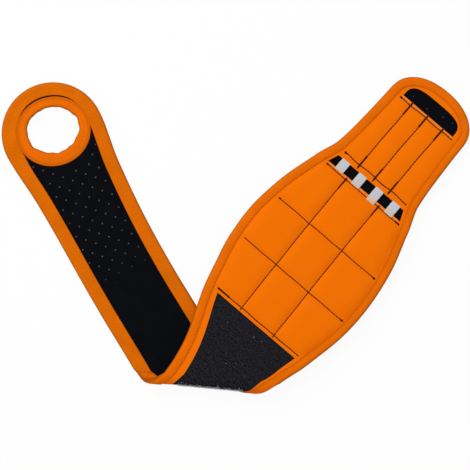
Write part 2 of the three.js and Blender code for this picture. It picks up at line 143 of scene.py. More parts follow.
# How much narrower the eye's tape is on the lining: at its far end, and at places round it, each
# with its angle and spread. On the left it is wider, and runs out so along the strap's side.
EYE_SLIM = 0.5
EYE_SIDE = 1.1
EYE_SIDE_REACH = 11
EYE_PLACES = (
    (0.75, math.radians(-52), math.radians(24)),
    (-0.6, math.radians(40), math.radians(15)),
    (-EYE_SIDE, math.radians(90), math.radians(32)),
)

# Cover: magnet compartments, slot, tool sleeves and the half-moon window
COLUMN = 27.6
CELL_RISE = 1.5
CELL_SHOULDER = 6
SLOT_MARGIN = 7.8
SLEEVE = 13
SLEEVE_RISE = 0.8
SLEEVE_SHOULDER = 6.5
SLEEVE_HEM = 4.1
TIP_HEM = 2.0
MOON_CHORD = 42
MOON_DEPTH = 10.8
MOON_SETBACK = 4.0
MOON_SQUARENESS = 3.5
MOON_MIDDLE = 0.4

# Loop patch between its orange margins, and how far each margin reaches past the tape at the fold
# and at the patch's end
PATCH_HEM = 2.5
PATCH_TUCK = 1
MARGIN_TUCK = 0.5
MARGINS = {"left": (5, 4), "right": (-0.4, 2.6)}

# Keeper tabs across the slot. The rounding of their tops is how far in from the side each point is
# and its depth below the top.
KEEPER_PITCH = 14.2
KEEPER_WIDTH = 6.5
KEEPER_THICKNESS = 0.8
KEEPER_FALL = 0.7
KEEPER_DRIFT = -0.3
KEEPER_STARTS = (156.6, 155.3, 156.8, 157.6)
KEEPER_TUCK = 0.4
KEEPER_STEP = 0.8
KEEPER_ROUNDING = ((0, 0.45), (0.3, 0.1), (1, 0))
KEEPER_UNDERCUT = 0.2

# Hook pad under the tip
HOOK_SETBACK = 1.75
HOOK_BASE = 0.45
HOOK_SINK = 0.05
HOOK_MARGIN = 9.5
HOOK_PITCH = 1.5
HOOK_CLEAR = 1
HOOK_COVER = 0.9

# How finely the meshes are stepped, where a round tip's rows end, which edges stay sharp, and the
# fold's halves as shares of it
SIDE_STEP = 3.5
END_STEPS = 40
RING_STEPS = 120
RING_RAILS = 11
SLAB_RAILS = 8
FOLD_STEPS = 12
OUTLINE_STEPS = 90
OUTLINE_PITCH = 1
MOON_STEPS = 120
CUT_STEPS = 40
TIP_LIFT = math.radians(86)
CREASE = math.radians(40)
FOLD_HALVES = {"fold_upper": (0, 0.5), "fold_lower": (0.5, 1)}
SLOPE_STEP = 0.5
SETTLE_PASSES = 12
EVEN = (0, 0.25, 0.5, 0.75)
QUILTED = (0, 0.03, 0.08, 0.15, 0.25, 0.37, 0.5, 0.63, 0.75, 0.85, 0.92, 0.97)


# The frame's joints give the fold, the limbs' directions and the hinge lines

joints = {joint["name"]: joint for joint in frame["joints"]}


def pivot(name):
    return np.array(joints[name]["pos_m"]) / MM


def axis(name):
    return np.array(joints[name]["axis"], float)


BAND = pivot("thumb_bend")[2]
MIDDLE_RADIUS = FOLD_BORE + BAND / 2
HALF_ARC = math.pi * MIDDLE_RADIUS / 2

# Two hinges open the fold, each at the quarter of its half turn and just outside its middle
HINGE_RADIUS = MIDDLE_RADIUS * math.sqrt(2) * math.pi / 4
fold_axis = pivot("fold_open")
hinge_drop = FOLD_BORE + BAND - fold_axis[2]
fold_axis = fold_axis + (0, math.sqrt(HINGE_RADIUS ** 2 - hinge_drop ** 2), hinge_drop)
strap_across = -axis("thumb_bend")
strap_along = np.cross(strap_across, UP)
panel_across = axis("lower_bend")
panel_along = pivot("upper_bend") - pivot("lower_bend")
panel_along = panel_along / np.linalg.norm(panel_along)
panel_up = np.cross(panel_along, panel_across)
SLANT = math.atan2(strap_along[1], -strap_along[0])
TILT = math.atan2(panel_up[1], panel_up[2])
HALF_FOLD = HALF_ARC / math.sin(SLANT)
fold_shift = np.array((HALF_FOLD * math.cos(SLANT), 0, 0))
strap_origin = fold_axis - fold_shift - FOLD_BORE * UP
panel_origin = fold_axis + fold_shift + FOLD_BORE * panel_up


def station(name):
    """How far along the panel a hinge is."""
    return (pivot(name) - panel_origin) @ panel_along


LOWER_END = station("lower_bend")
MIDDLE_END = station("upper_bend")
UPPER_END = station("tongue_bend")
TONGUE_END = station("tab_peel")
THUMB_START = (pivot("thumb_bend") - strap_origin) @ strap_along
EYE_RADIUS = STRAP_LENGTH - THUMB_START
SLOT_START = UPPER_SEAM + HEM
TAB_CENTRE = TONGUE_END + TAB_STRAIGHT
PATCH_END = LOOP_SECTION - PATCH_HEM
SLEEVE_START = UPPER_END + SLEEVE_HEM
SLEEVE_END = TONGUE_END + TIP_HEM
MOON_START = TONGUE_END + MOON_SETBACK
ROW_SEAMS = (LOOP_SECTION, LOWER_END, MIDDLE_END, UPPER_SEAM)
COLUMN_SEAMS = (-COLUMN / 2, COLUMN / 2)
SLEEVE_SEAMS = (-SLEEVE, 0, SLEEVE)

# The panel's pieces part in the middle of a row, and the strap's well before the thumb's hinge, so
# that each place where they part follows one body
MIDDLE_SPLIT = (LOWER_END + MIDDLE_END) / 2
UPPER_SPLIT = (MIDDLE_END + UPPER_SEAM) / 2
TONGUE_SPLIT = (UPPER_END + TONGUE_END) / 2
STRAP_SPLIT = THUMB_START - THUMB_LEAD


def ease(t):
    """A smooth step from 0 to 1."""
    t = np.clip(t, 0, 1)
    return t * t * (3 - 2 * t)


def crown(distance, shoulder):
    """How far cloth has risen from a seam to its full height."""
    return 1 - (1 - np.clip(distance / shoulder, 0, 1)) ** 2


def smooth_edge(stations):
    """A smooth curve through (x, y) stations, level at both ends."""
    xs, ys = np.array(stations, float).T
    slopes = np.zeros(len(xs))
    slopes[1:-1] = (ys[2:] - ys[:-2]) / (xs[2:] - xs[:-2])

    def curve(x):
        x = np.clip(x, xs[0], xs[-1])
        i = np.clip(np.searchsorted(xs, x, side="right") - 1, 0, len(xs) - 2)
        span = xs[i + 1] - xs[i]
        t = (x - xs[i]) / span
        bend = t * (1 - t) * (slopes[i] * (1 - t) - slopes[i + 1] * t) * span
        return ys[i] + (ys[i + 1] - ys[i]) * ease(t) + bend

    return curve


class Limb:
    """A flat stretch of the band: x runs from the fold, y to the left, h up from the lining."""

    def __init__(self, origin, axes, edge, lean, end, grain, reach, swells=(), squareness=2):
        self.origin = origin
        self.axes = np.array(axes)
        self.edge = smooth_edge(edge)
        self.lean = smooth_edge(lean)
        self.centre, self.round, self.half = end
        self.grain = grain
        self.reach = reach
        self.swells = swells
        self.squareness = squareness
        self.cot = self.axes[0][0] / math.hypot(*self.axes[0][1:])

    def side(self, hand, x):
        """How far one side's edge is from the centre line."""
        swells = [part[1:] for part in self.swells if part[0] == hand]
        return self.edge(x) + sum(size * np.exp(-(((x - at) / reach) ** 2)) for size, at, reach in swells)

    def edge_rail(self, hand, inset):
        """The line at an inset from one side's edge, as y at x."""

        def rail(x):
            rise = self.side(hand, x + SLOPE_STEP) - self.side(hand, x - SLOPE_STEP)
            slope = rise / (2 * SLOPE_STEP)
            return self.lean(x) + hand * (self.side(hand, x) - inset * np.hypot(1, slope))

        return rail

    def tapered_rail(self, hand, at_start, at_end, length):
        """An edge rail whose inset changes from one value to another over a length."""
        rails = self.edge_rail(hand, at_start), self.edge_rail(hand, at_end)

        def rail(x):
            share = np.clip(x / length, 0, 1)
            return rails[0](x) * (1 - share) + rails[1](x) * share

        return rail

    def line_rail(self, offset):
        return lambda x: self.lean(x) + offset

    def lay(self, t, rail):
        """A rail's points at t past the fold: rows lie along the fold there, then turn square."""
        turn = ease(1 - t / self.reach)
        x = np.array(t, float)
        for _ in range(SETTLE_PASSES):
            x = t - rail(x) * self.cot * turn
        return x, rail(x)

    def end(self, angle, inset):
        """A point round the limb's end, at an inset from its edge."""
        power = 2 / self.squareness
        x = self.centre + (self.round - inset) * np.abs(np.cos(angle)) ** power
        y = (self.half - inset) * np.sign(angle) * np.abs(np.sin(angle)) ** power
        return x, self.lean(self.centre) + y

    def place(self, x, y, h):
        spot = np.stack(np.broadcast_arrays(x, y, h), -1)
        return self.origin + spot @ self.axes

    def flat(self, x, y):
        """Where a point lies on the cloth before it is folded."""
        return np.stack((self.grain * (x + HALF_FOLD), y), -1)


panel = Limb(
    panel_origin,
    (panel_along, panel_across, panel_up),
    edge=(
        (-FOLD_WIDTH / 2 / math.tan(SLANT), FOLD_WIDTH / 2),
        (FLARE_START, FLARE_WIDTH / 2),
        (LOOP_SECTION, LOOP_END_WIDTH / 2),
        (MIDDLE_SPLIT, WIDEST / 2),
        (UPPER_SEAM, HEM_WIDTH / 2),
        (UPPER_END + NECK_REACH, NECK_WIDTH / 2),
        (TAB_CENTRE, TAB_WIDTH / 2),
    ),
    lean=((0, -PANEL_LEAN), (UPPER_SEAM, 0)),
    end=(TAB_CENTRE, TAB_ROUND, TAB_WIDTH / 2),
    grain=1,
    reach=44,
    swells=PANEL_SWELLS,
    squareness=TIP_SQUARENESS,
)
strap = Limb(
    strap_origin,
    (strap_along, strap_across, -UP),
    edge=(
        (0, STRAP_WIDTH / 2),
        (STRAP_STRAIGHT, STRAP_WIDTH / 2),
        (SHOULDER, SHOULDER_WIDTH / 2),
        (STRAP_LENGTH, EYE_RADIUS),
    ),
    lean=(
        (FOLD_WIDTH / 4, FOLD_LEAN),
        (FOLD_LEAN_END, STRAP_LEAN),
        (STRAP_STRAIGHT, STRAP_LEAN),
        (SHOULDER, SHOULDER_LEAN),
        (STRAP_LENGTH, EYE_LEAN),
    ),
    end=(STRAP_LENGTH, EYE_RADIUS, EYE_RADIUS),
    grain=-1,
    reach=60,
)


# Rows of points: each maker gives points and where they lie on the flat cloth


def steps(start, stop, step=SIDE_STEP):
    return np.linspace(start, stop, max(2, math.ceil(abs(stop - start) / step) + 1))


def seam_steps(start, stop, seams):
    """Steps that crowd together near the seams."""
    marks = np.array([start, *[s for s in seams if start < s < stop], stop])
    spans = [a + (b - a) * np.array(QUILTED) for a, b in zip(marks, marks[1:])]
    return np.concatenate((*spans, [stop]))


def between(rail, other, share):
    return lambda x: rail(x) * (1 - share) + other(x) * share


def rails_across(rails, shares=EVEN):
    """Rails with more between each pair, at the given shares of the way."""
    made = []
    for rail, other in zip(rails, rails[1:]):
        made += [between(rail, other, share) for share in shares]
    return [*made, rails[-1]]


def sheet(rails, low, high):
    """The columns of a sheet's closed section: over its top and back under it."""
    return [(rail, high) for rail in rails] + [(rail, low) for rail in reversed(rails)]


def run(limb, t, columns):
    """A closed section carried along a limb. A column is a rail with its height, or height at x, y."""
    spots = [limb.lay(t, rail) for rail, _ in columns]
    x, y = (np.stack(part, 1) for part in zip(*spots))
    heights = []
    for i, (_, h) in enumerate(columns):
        heights.append(h(x[:, i], y[:, i]) if callable(h) else h + 0 * t)
    return limb.place(x, y, np.stack(heights, 1)), limb.flat(x, y)


def fold_fullness(angle):
    """How far the fold's quarters stand out of a half circle, at an angle round it."""
    quarter = np.where(angle < math.pi / 2, *FOLD_QUARTERS)
    return quarter * np.sin(2 * angle) ** 2


def fold_run(half, panel_columns, strap_columns):
    """A closed section carried round half of the fold, between the panel's columns and the strap's."""
    turn = np.linspace(*FOLD_HALVES[half], FOLD_STEPS + 1)[:, None]
    over, over_flat = run(panel, np.zeros(1), panel_columns)
    under, under_flat = run(strap, np.zeros(1), strap_columns)
    along = over[..., 0] * (1 - turn) + under[..., 0] * turn
    angle = -TILT + (math.pi + TILT) * turn
    radius = FOLD_BORE + np.array([h for _, h in panel_columns]) + fold_fullness(angle)
    across = fold_axis[1] - (radius + FOLD_BULGE * np.sin(angle)) * np.sin(angle)
    height = fold_axis[2] + radius * np.cos(angle)
    flat = over_flat * (1 - turn[..., None]) + under_flat * turn[..., None]
    return np.stack((along, across, height), -1), flat


def end_run(limb, columns):
    """A closed section carried round a limb's end. A column is an inset with a height."""
    angle = np.linspace(math.pi / 2, -math.pi / 2, END_STEPS + 1)[1:-1][:, None]
    insets, heights = np.array(columns).T
    if limb is strap:
        insets = insets - eye_slim(angle) * beyond_seam(insets)
    x, y = limb.end(angle, insets)
    return limb.place(x, y, heights), limb.flat(x, y)


def beyond_seam(inset):
    """How far an inset is from the tape's seam to the edge of its lining side, as a share."""
    return np.clip((inset - TAPE_SEAM) / (LINING_FLANGE - TAPE_SEAM), 0, 1)


def eye_slim(angle):
    """How much narrower the tape's lining side is round the eye than along the strap."""
    slim = EYE_SLIM * np.cos(angle)
    for size, middle, width in EYE_PLACES:
        slim = slim + size * np.exp(-(((angle - middle) / width) ** 2))
    return slim


def round_fill(start, depth, half, low, high):
    """A half-round sheet on the panel, in rows that shorten towards its tip."""
    lift = np.linspace(0, TIP_LIFT, END_STEPS // 2)[:, None]
    shares = np.linspace(-1, 1, SLAB_RAILS + 1)
    columns = np.array([*shares, *reversed(shares)])
    x = start + depth * np.sin(lift) + 0 * columns
    y = half * np.cos(lift) * columns
    heights = np.array([high] * len(shares) + [low] * len(shares))
    return panel.place(x, y, heights), panel.flat(x, y)


def seen_from(middle, outline, angle):
    """Points of an outline at given angles round a middle."""
    away = outline - middle
    order = np.arctan2(away[:, 1], away[:, 0])
    reach = np.interp(angle, order, np.hypot(away[:, 0], away[:, 1]), period=2 * math.pi)
    return middle + reach[:, None] * np.stack((np.cos(angle), np.sin(angle)), -1)


def ring_run(limb, middle, inner, outer, corners, low, high):
    """A sheet between an inner and an outer outline, in rows that go round its middle."""
    turns = np.linspace(-math.pi, math.pi, RING_STEPS, endpoint=False)
    away = np.array(corners) - middle
    angle = np.sort(np.concatenate((turns, np.arctan2(away[:, 1], away[:, 0]))))
    inside = seen_from(middle, inner, angle)[:, None]
    outside = seen_from(middle, outer, angle)[:, None]
    share = np.linspace(0, 1, RING_RAILS)
    share = np.concatenate((share, share[::-1]))[:, None]
    spot = inside * (1 - share) + outside * share
    heights = np.array([high] * RING_RAILS + [low] * RING_RAILS)
    return limb.place(spot[..., 0], spot[..., 1], heights), limb.flat(spot[..., 0], spot[..., 1])


def end_outline(limb, start, inset):
    """The limb's outline from a cut across it to its end, at an inset."""
    x = steps(start, limb.centre, OUTLINE_PITCH)
    left = np.stack((x, limb.edge_rail(LEFT, inset)(x)), -1)
    right = np.stack((x, limb.edge_rail(RIGHT, inset)(x)), -1)
    round_end = np.stack(limb.end(np.linspace(math.pi / 2, -math.pi / 2, OUTLINE_STEPS), inset), -1)
    cut = right[0] + (left[0] - right[0]) * np.linspace(0, 1, CUT_STEPS)[:, None]
    return np.concatenate((left, round_end, right[::-1], cut)), (left[0], right[0])


def half_moon(start, depth, half, squareness):
    """A half-moon's outline, with its straight side across the panel."""
    y = half * np.sin(np.linspace(-math.pi / 2, math.pi / 2, MOON_STEPS))
    x = start + depth * (1 - np.abs(y / half) ** squareness) ** (1 / squareness)
    chord = np.stack((np.full(CUT_STEPS, start), np.linspace(half, -half, CUT_STEPS)), -1)
    return np.concatenate((np.stack((x, y), -1), chord))


def joined(*runs):
    """Runs that follow on from each other, as one."""
    return tuple(np.concatenate(part) for part in zip(*runs))


# Binding tape: its section, from the face round the edge to the lining and back inside

EDGE_TURN = np.radians((90, 72, 54, 36, 18, 0, -18, -36, -54, -72, -90))

# The tape's rolled lip and the dent of its stitching: how far out from the lip's edge or in from the
# stitching each point is, and its depth below the tape's top
LIP_SHAPE = ((0, BASE_LOW - 0.02), (TAPE_LIP / 4, TAPE_LIP), (TAPE_LIP, 0.08))
DENT_SHAPE = ((0.7, 0.04), (0.25, TAPE_DENT * 0.8), (0, TAPE_DENT), (-0.25, TAPE_DENT * 0.8), (-0.7, 0.03))
EDGE_START = 0.6


def tape_side(flange, seam):
    """The tape's outer surface on one face: inset from the edge and depth below its top."""
    return [
        *[(flange - out, depth) for out, depth in LIP_SHAPE],
        *[(seam + off, depth) for off, depth in DENT_SHAPE],
        (TAPE_ROUND + EDGE_START, 0),
    ]


TAPE_SECTION = [
    *[(inset, BAND - depth) for inset, depth in tape_side(FACE_FLANGE, TAPE_SEAM)],
    *[(TAPE_ROUND * (1 - math.cos(a)), BAND / 2 * (1 + math.sin(a))) for a in EDGE_TURN],
    *reversed(tape_side(LINING_FLANGE, TAPE_SEAM)),
    (CORE_INSET, BASE_LOW),
    (CORE_INSET, FACE_HIGH),
]
TAPE_EDGE = len(tape_side(0, 0)) + len(EDGE_TURN) // 2
TAPE_ROUTE = np.array([*TAPE_SECTION, TAPE_SECTION[0]])
TAPE_ACROSS = np.concatenate(([0], np.cumsum(np.hypot(*np.diff(TAPE_ROUTE, axis=0).T))))
TAPE_FOLD = TAPE_ACROSS[TAPE_EDGE]


def along_tape(points, across=TAPE_ACROSS, edge=TAPE_EDGE):
    """Lengths along a tape and across it, in place of its lie on the cloth."""
    stretch = np.linalg.norm(np.diff(points[:, edge], axis=0), axis=-1)
    length = np.concatenate(([0], np.cumsum(stretch)))
    return points, np.stack(np.broadcast_arrays(length[:, None], across), -1)


def tape_rail(limb, hand, inset):
    """An edge rail of the tape, which widens on the strap's left as it comes to the eye."""
    rail = limb.edge_rail(hand, inset)
    if limb is panel or hand == RIGHT:
        return rail
    extra = EYE_SIDE * beyond_seam(inset)
    return lambda x: rail(x) - extra * np.exp(-(((x - STRAP_LENGTH) / EYE_SIDE_REACH) ** 2))


def tape_columns(limb, hand):
    return [(tape_rail(limb, hand, inset), h) for inset, h in TAPE_SECTION]


def side_tape(limb, hand, start, stop):
    return along_tape(run(limb, steps(start, stop), tape_columns(limb, hand))[0])


def end_tape(limb, start):
    """Tape along both sides from a start and round the limb's end."""
    t = steps(start, limb.centre)
    left = run(limb, t, tape_columns(limb, LEFT))[0]
    right = run(limb, t[::-1], tape_columns(limb, RIGHT))[0]
    return along_tape(np.concatenate((left, end_run(limb, TAPE_SECTION)[0], right)))


# The ring of tape round the thumb hole: distances out from the hole's edge

eye = np.array((STRAP_LENGTH, 0))
hole = eye + HOLE_OFFSET
ring_middle = eye + RING_OFFSET
ring_turn = np.linspace(-math.pi, math.pi, RING_STEPS, endpoint=False)
ring_out = np.stack((np.cos(ring_turn), np.sin(ring_turn)), -1)


def drawn_oval(turn, radius, draw):
    return radius + draw * np.cos(2 * (turn - OVAL_TURN))


def hole_reach(turn):
    """How far the hole's edge is from its middle, with the gathers of the tape."""
    gathers = [depth * np.cos(count * turn + math.radians(start)) for count, depth, start in PUCKERS]
    return drawn_oval(turn, HOLE_RADIUS, HOLE_OVAL) + np.sum(gathers, axis=0)


ring_edge = hole + hole_reach(ring_turn)[:, None] * ring_out
ring_rim = ring_middle + drawn_oval(ring_turn, RING_RADIUS, RING_OVAL)[:, None] * ring_out
ring_rim = seen_from(hole, ring_rim, ring_turn)
ring_width = np.linalg.norm(ring_rim - ring_edge, axis=-1)


def ring_section(width):
    """The ring's closed section: in over the lining, down through the hole and out on the face."""
    return np.array([
        *tape_side(width, width * RING_SEAM_SHARE),
        *[(TAPE_ROUND * (1 - math.cos(a)), BAND / 2 * (1 - math.sin(a))) for a in EDGE_TURN],
        *[(d, BAND - depth) for d, depth in reversed(tape_side(RING_FACE_WIDTH, TAPE_SEAM))],
        (CORE_INSET, FACE_HIGH),
        (CORE_INSET, BASE_LOW),
    ])


def ring_tape():
    """The ring's section carried round the hole."""
    rows = []
    for edge, out, width in zip(ring_edge, ring_out, ring_width):
        section = ring_section(width)
        spot = edge + section[:, :1] * out
        rows.append(strap.place(spot[:, 0], spot[:, 1], section[:, 1]))
    points = np.array(rows)
    route = ring_section(ring_width.mean())
    stretch = np.hypot(*np.diff(np.concatenate((route, route[:1])), axis=0).T)
    across = np.concatenate(([0], np.cumsum(stretch)))
    closed = np.concatenate((points, points[:1]))
    return points, along_tape(closed, across - across[TAPE_EDGE] + TAPE_FOLD)[1]


# The cover's height: level along its seams, and crowned over magnets and sleeves


def crowned(rows, columns, rise, shoulder):
    """The height of a cover that is sewn down along rows and columns of stitching."""

    def height(x, y):
        off = y - panel.lean(x)
        from_rows = np.min([np.abs(x - seam) for seam in rows], axis=0)
        from_columns = np.min([np.abs(off - seam) for seam in columns], axis=0)
        from_tape = np.maximum(panel.edge(x) - np.abs(off) - FACE_FLANGE, 0)
        within = (x > rows[0]) & (x < rows[-1])
        lift = crown(from_rows, shoulder) * crown(np.minimum(from_columns, from_tape), shoulder)
        return COVER_HIGH + rise * lift * within

    return height


cell_height = crowned(ROW_SEAMS, COLUMN_SEAMS, CELL_RISE, CELL_SHOULDER)
sleeve_height = crowned((SLEEVE_START, SLEEVE_END), SLEEVE_SEAMS, SLEEVE_RISE, SLEEVE_SHOULDER)


def cover_rails(seams):
    """Rails across the panel's cover, close together near its seams."""
    left = [panel.edge_rail(LEFT, inset) for inset in (FACE_FLANGE, CORE_INSET)]
    right = [panel.edge_rail(RIGHT, inset) for inset in (CORE_INSET, FACE_FLANGE)]
    middle = [right[1], *[panel.line_rail(seam) for seam in seams], left[0]]
    return rails_across(right)[:-1] + rails_across(middle, QUILTED)[:-1] + rails_across(left)


def cover(start, stop, rows, seams, height):
    t = seam_steps(start, stop, rows)
    under = lambda x, y: np.maximum(FACE_LOW, height(x, y) - CLOTH)
    return run(panel, t, sheet(cover_rails(seams), under, height))


def side_strip(limb, hand, start, stop, inner, low, high):
    """A strip of cloth from under the tape to an inset."""
    rails = [limb.edge_rail(hand, CORE_INSET), limb.edge_rail(hand, inner)]
    return run(limb, steps(start, stop), sheet(rails_across(rails), low, high))


def margin_rails(side, hand):
    """The rails of an orange margin beside the loop patch."""
    at_fold, at_patch = (FACE_FLANGE + width for width in MARGINS[side])
    return [panel.edge_rail(hand, CORE_INSET), panel.tapered_rail(hand, at_fold, at_patch, PATCH_END)]


def full_rails(limb):
    rails = [limb.edge_rail(RIGHT, CORE_INSET), limb.edge_rail(LEFT, CORE_INSET)]
    return rails_across(rails, np.linspace(0, 1, SLAB_RAILS, endpoint=False))


def slab(limb, start, stop, low, high):
    """A sheet over the limb's whole width."""
    return run(limb, steps(start, stop), sheet(full_rails(limb), low, high))


def fold_slab(half, low, high):
    return fold_run(half, sheet(full_rails(panel), low, high), sheet(full_rails(strap), low, high))


def fold_margin(half, side, hand):
    """The orange margin, level round the upper half of the fold and running out under the tape below."""
    inset = FACE_FLANGE + MARGINS[side][0]
    spare = inset - FACE_FLANGE + MARGIN_TUCK if half == "fold_lower" else 0
    outer, inner = margin_rails(side, hand)
    over = [outer, lambda x: inner(x) - hand * spare]
    under = [strap.edge_rail(hand, CORE_INSET), strap.edge_rail(hand, inset - spare)]
    return fold_run(half, *[sheet(rails_across(rails), *MARGIN_LAYER) for rails in (over, under)])


def past_fold(half, limb, stop, low, high):
    """A sheet over the limb's whole width, from the middle of the fold to a station."""
    points, flat = slab(limb, 0, stop, low, high)
    turned = [part[:: -limb.grain] for part in fold_slab(half, low, high)]
    return joined(turned, (points[1:], flat[1:]))


def eye_slab(low, high):
    """A sheet round the thumb hole, from the strap's split to its end."""
    outline, corners = end_outline(strap, STRAP_SPLIT, CORE_INSET)
    inner = ring_edge + 2 * CORE_INSET * ring_out
    return ring_run(strap, hole, inner, outline, corners, low, high)


def tip_slab(start, low, high):
    """A sheet over the tongue's width and its round tip."""
    depth = TAB_ROUND - CORE_INSET
    half = TAB_WIDTH / 2 - CORE_INSET
    points, flat = round_fill(TAB_CENTRE, depth, half, low, high)
    return joined(slab(panel, start, TAB_CENTRE, low, high), (points[1:], flat[1:]))


def moon_slab(low, high):
    """The tip's cover round the half-moon window."""
    outline, corners = end_outline(panel, SLEEVE_END, CORE_INSET)
    moon = half_moon(MOON_START, MOON_DEPTH, MOON_CHORD / 2, MOON_SQUARENESS)
    tips = ((MOON_START, MOON_CHORD / 2), (MOON_START, -MOON_CHORD / 2))
    middle = np.array((MOON_START + MOON_DEPTH * MOON_MIDDLE, 0))
    return ring_run(panel, middle, moon, outline, (*corners, *tips), low, high)


def keeper(offset, start):
    """A tab with rounded edges, from its start on the hem down to the far side of the slot."""

    def top(drop):
        return lambda x, y: COVER_HIGH + KEEPER_THICKNESS - drop - KEEPER_FALL * ease(
            (x - SLOT_START) / (UPPER_END - SLOT_START)
        )

    half = KEEPER_WIDTH / 2
    rounding = [(inset - half, drop) for inset, drop in KEEPER_ROUNDING]
    far_rounding = [(-across, drop) for across, drop in reversed(rounding)]
    foot = half - KEEPER_UNDERCUT
    underside = [(across, KEEPER_THICKNESS) for across in (foot, 0, -foot)]
    section = [*rounding, (0, 0), *far_rounding, *underside]
    columns = [(panel.line_rail(offset + across), top(drop)) for across, drop in section]
    return run(panel, steps(start, UPPER_END + KEEPER_TUCK, KEEPER_STEP), columns)


# Meshes, and how they move with the frame


def put(name, data):
    """A new object in the scene."""
    made = bpy.data.objects.new(name, data)
    bpy.context.scene.collection.objects.link(made)
    return made


def build(name, material, runs=(), rings=()):
    """A closed mesh through the rows of each run, capped at its ends, and of each ring."""
    places, faces, flats = [], [], []
    for points, flat in (*runs, *rings):
        first = len(places)
        rows, size = points.shape[:2]
        wide = flat.shape[1]
        places.extend(points.reshape(-1, 3) * MM)
        open_ends = any(points is part[0] for part in runs)
        for r in range(rows - 1 if open_ends else rows):
            for c in range(size):
                corners = ((r, c), (r, c + 1), (r + 1, c + 1), (r + 1, c))
                faces.append([first + i % rows * size + j % size for i, j in corners])
                flats.extend(flat[i % len(flat), j % wide] for i, j in corners)
        for r in (0, rows - 1) if open_ends else ():
            faces.append([first + r * size + c for c in range(size)])
            flats.extend(flat[r, :size])
    mesh = bpy.data.meshes.new(name)
    mesh.from_pydata(places, [], faces)
    layer = mesh.uv_layers.new(name="flat")
    layer.uv.foreach_set("vector", np.array(flats, np.float32).ravel())
    shape = bmesh.new()
    shape.from_mesh(mesh)
    bmesh.ops.recalc_face_normals(shape, faces=shape.faces)
    shape.to_mesh(mesh)
    shape.free()
    mesh.shade_smooth()
    mesh.set_sharp_from_angle(angle=CREASE)
    mesh.materials.append(material)
    return put(name, mesh)


def round_fold(name):
    """The way round the fold at one of its hinges, from the panel to the strap."""
    return np.cross((1, 0, 0), (pivot(name) - fold_axis) / HINGE_RADIUS)


# Where the band bends: the bodies on both sides, the joint, its direction and how far it reaches.
# The fold's own reach is short.
FOLD_REACH = FOLD_BORE * math.sin(math.pi / 4)
BENDS = {
    "thumb": ("strap", "thumb_end", "thumb_bend", strap_along, 9),
    "fold_upper": ("lower_panel", "fold_strip", "fold_turn", round_fold("fold_turn"), FOLD_REACH),
    "fold_lower": ("fold_strip", "strap", "fold_open", round_fold("fold_open"), FOLD_REACH),
    "lower": ("lower_panel", "middle_row", "lower_bend", panel_along, 9),
    "middle": ("middle_row", "upper_row", "upper_bend", panel_along, 9),
    "upper": ("upper_row", "tongue", "tongue_bend", panel_along, 8),
    "tip": ("tongue", "end_tab", "tab_peel", panel_along, 7),
}


def dress(piece, place, slot, *nodes):
    """At a bend the piece is left where it lies, or else it rides on a body, and it stands for its nodes."""
    if place in BENDS:
        first, second, joint, direction, reach = BENDS[place]
        start = pivot(joint) - direction * reach
        end = pivot(joint) + direction * reach
        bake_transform(piece)
    else:
        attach(piece, place)
    if nodes:
        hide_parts(*nodes)
    return piece


def cloth(piece, *runs):
    """Lays the cut of a sheet of cloth along its own longest direction, and keeps nothing of it."""
    spots = np.concatenate([flat.reshape(-1, 2) for _, flat in runs])
    spots = spots @ np.linalg.svd(spots - spots.mean(0), full_matrices=False)[2].T


# Materials


def linear(colour):
    """An sRGB hex colour as linear red, green, blue and alpha."""
    parts = [int(colour[i : i + 2], 16) / 255 for i in (1, 3, 5)]
    return (*[p / 12.92 if p <= 0.04045 else ((p + 0.055) / 1.055) ** 2.4 for p in parts], 1)


def node(tree, kind, inputs=(), **settings):
    """Adds a node. Its inputs are values, hex colours, or the sockets that they are linked to."""
    made = tree.nodes.new(kind)
    for key, value in settings.items():
        setattr(made, key, value)
    for key, value in dict(inputs).items():
        if isinstance(value, bpy.types.NodeSocket):
            tree.links.new(value, made.inputs[key])
        else:
            is_colour = str(value).startswith("#")
            made.inputs[key].default_value = linear(value) if is_colour else value
    return made


# A wave texture of scale 1 repeats every tenth of pi
WAVE = math.pi / 10

# A mix of colours: its result and its kind, and the sockets of its two colours
MIX = {"output": 2, "data_type": "RGBA"}
LOW = 6
HIGH = 7

# Pale hems: the cover's cut edge, with painted highlight along it. For each, its seam, its opening and
# half its length, its distance from the seam, how soft its edges are along the panel and across it, and
# how pale it is
HEMS = ((UPPER_SEAM, SLOT_START, 29), (SLEEVE_END, MOON_START, 21))
HEM_CLEAR = 0.8
HEM_BLURS = (0.3, 0.5)
HEM_PALENESS = 0.25


class Finish:
    """A material under way: its tree, its shader and its place on the cloth in millimetres."""

    def __init__(self, name, **values):
        self.material = bpy.data.materials.new(name)
        self.material.use_nodes = True
        self.tree = self.material.node_tree
        self.shader = self.tree.nodes["Principled BSDF"]
        for key, value in values.items():
            self.shader.inputs[key.replace("_", " ")].default_value = value
        self.flat = self.add("ShaderNodeUVMap", uv_map="flat")
        self.place = self.add("ShaderNodeTexCoord", output="Object")

    def add(self, kind, inputs=(), output=0, **settings):
        """Adds a node, and gives one of its outputs."""
        return node(self.tree, kind, inputs, **settings).outputs[output]

    def wear(self, colour, height=None, depth=0, strength=0):
        """Gives the shader its colour, and bumps of a depth in millimetres."""
        self.tree.links.new(colour, self.shader.inputs["Base Color"])
        if height is not None:
            bumps = {"Height": height, "Distance": depth * MM, "Strength": strength}
            self.tree.links.new(self.add("ShaderNodeBump", bumps), self.shader.inputs["Normal"])
        return self.material


def mottled(finish, place, patch, dark, light, detail=2):
    """Two tones that run into each other in patches of a size."""
    tone = finish.add("ShaderNodeTexNoise", {"Vector": place, "Scale": 1 / patch, "Detail": detail})
    return finish.add("ShaderNodeMix", {"Factor": tone, LOW: dark, HIGH: light}, **MIX)


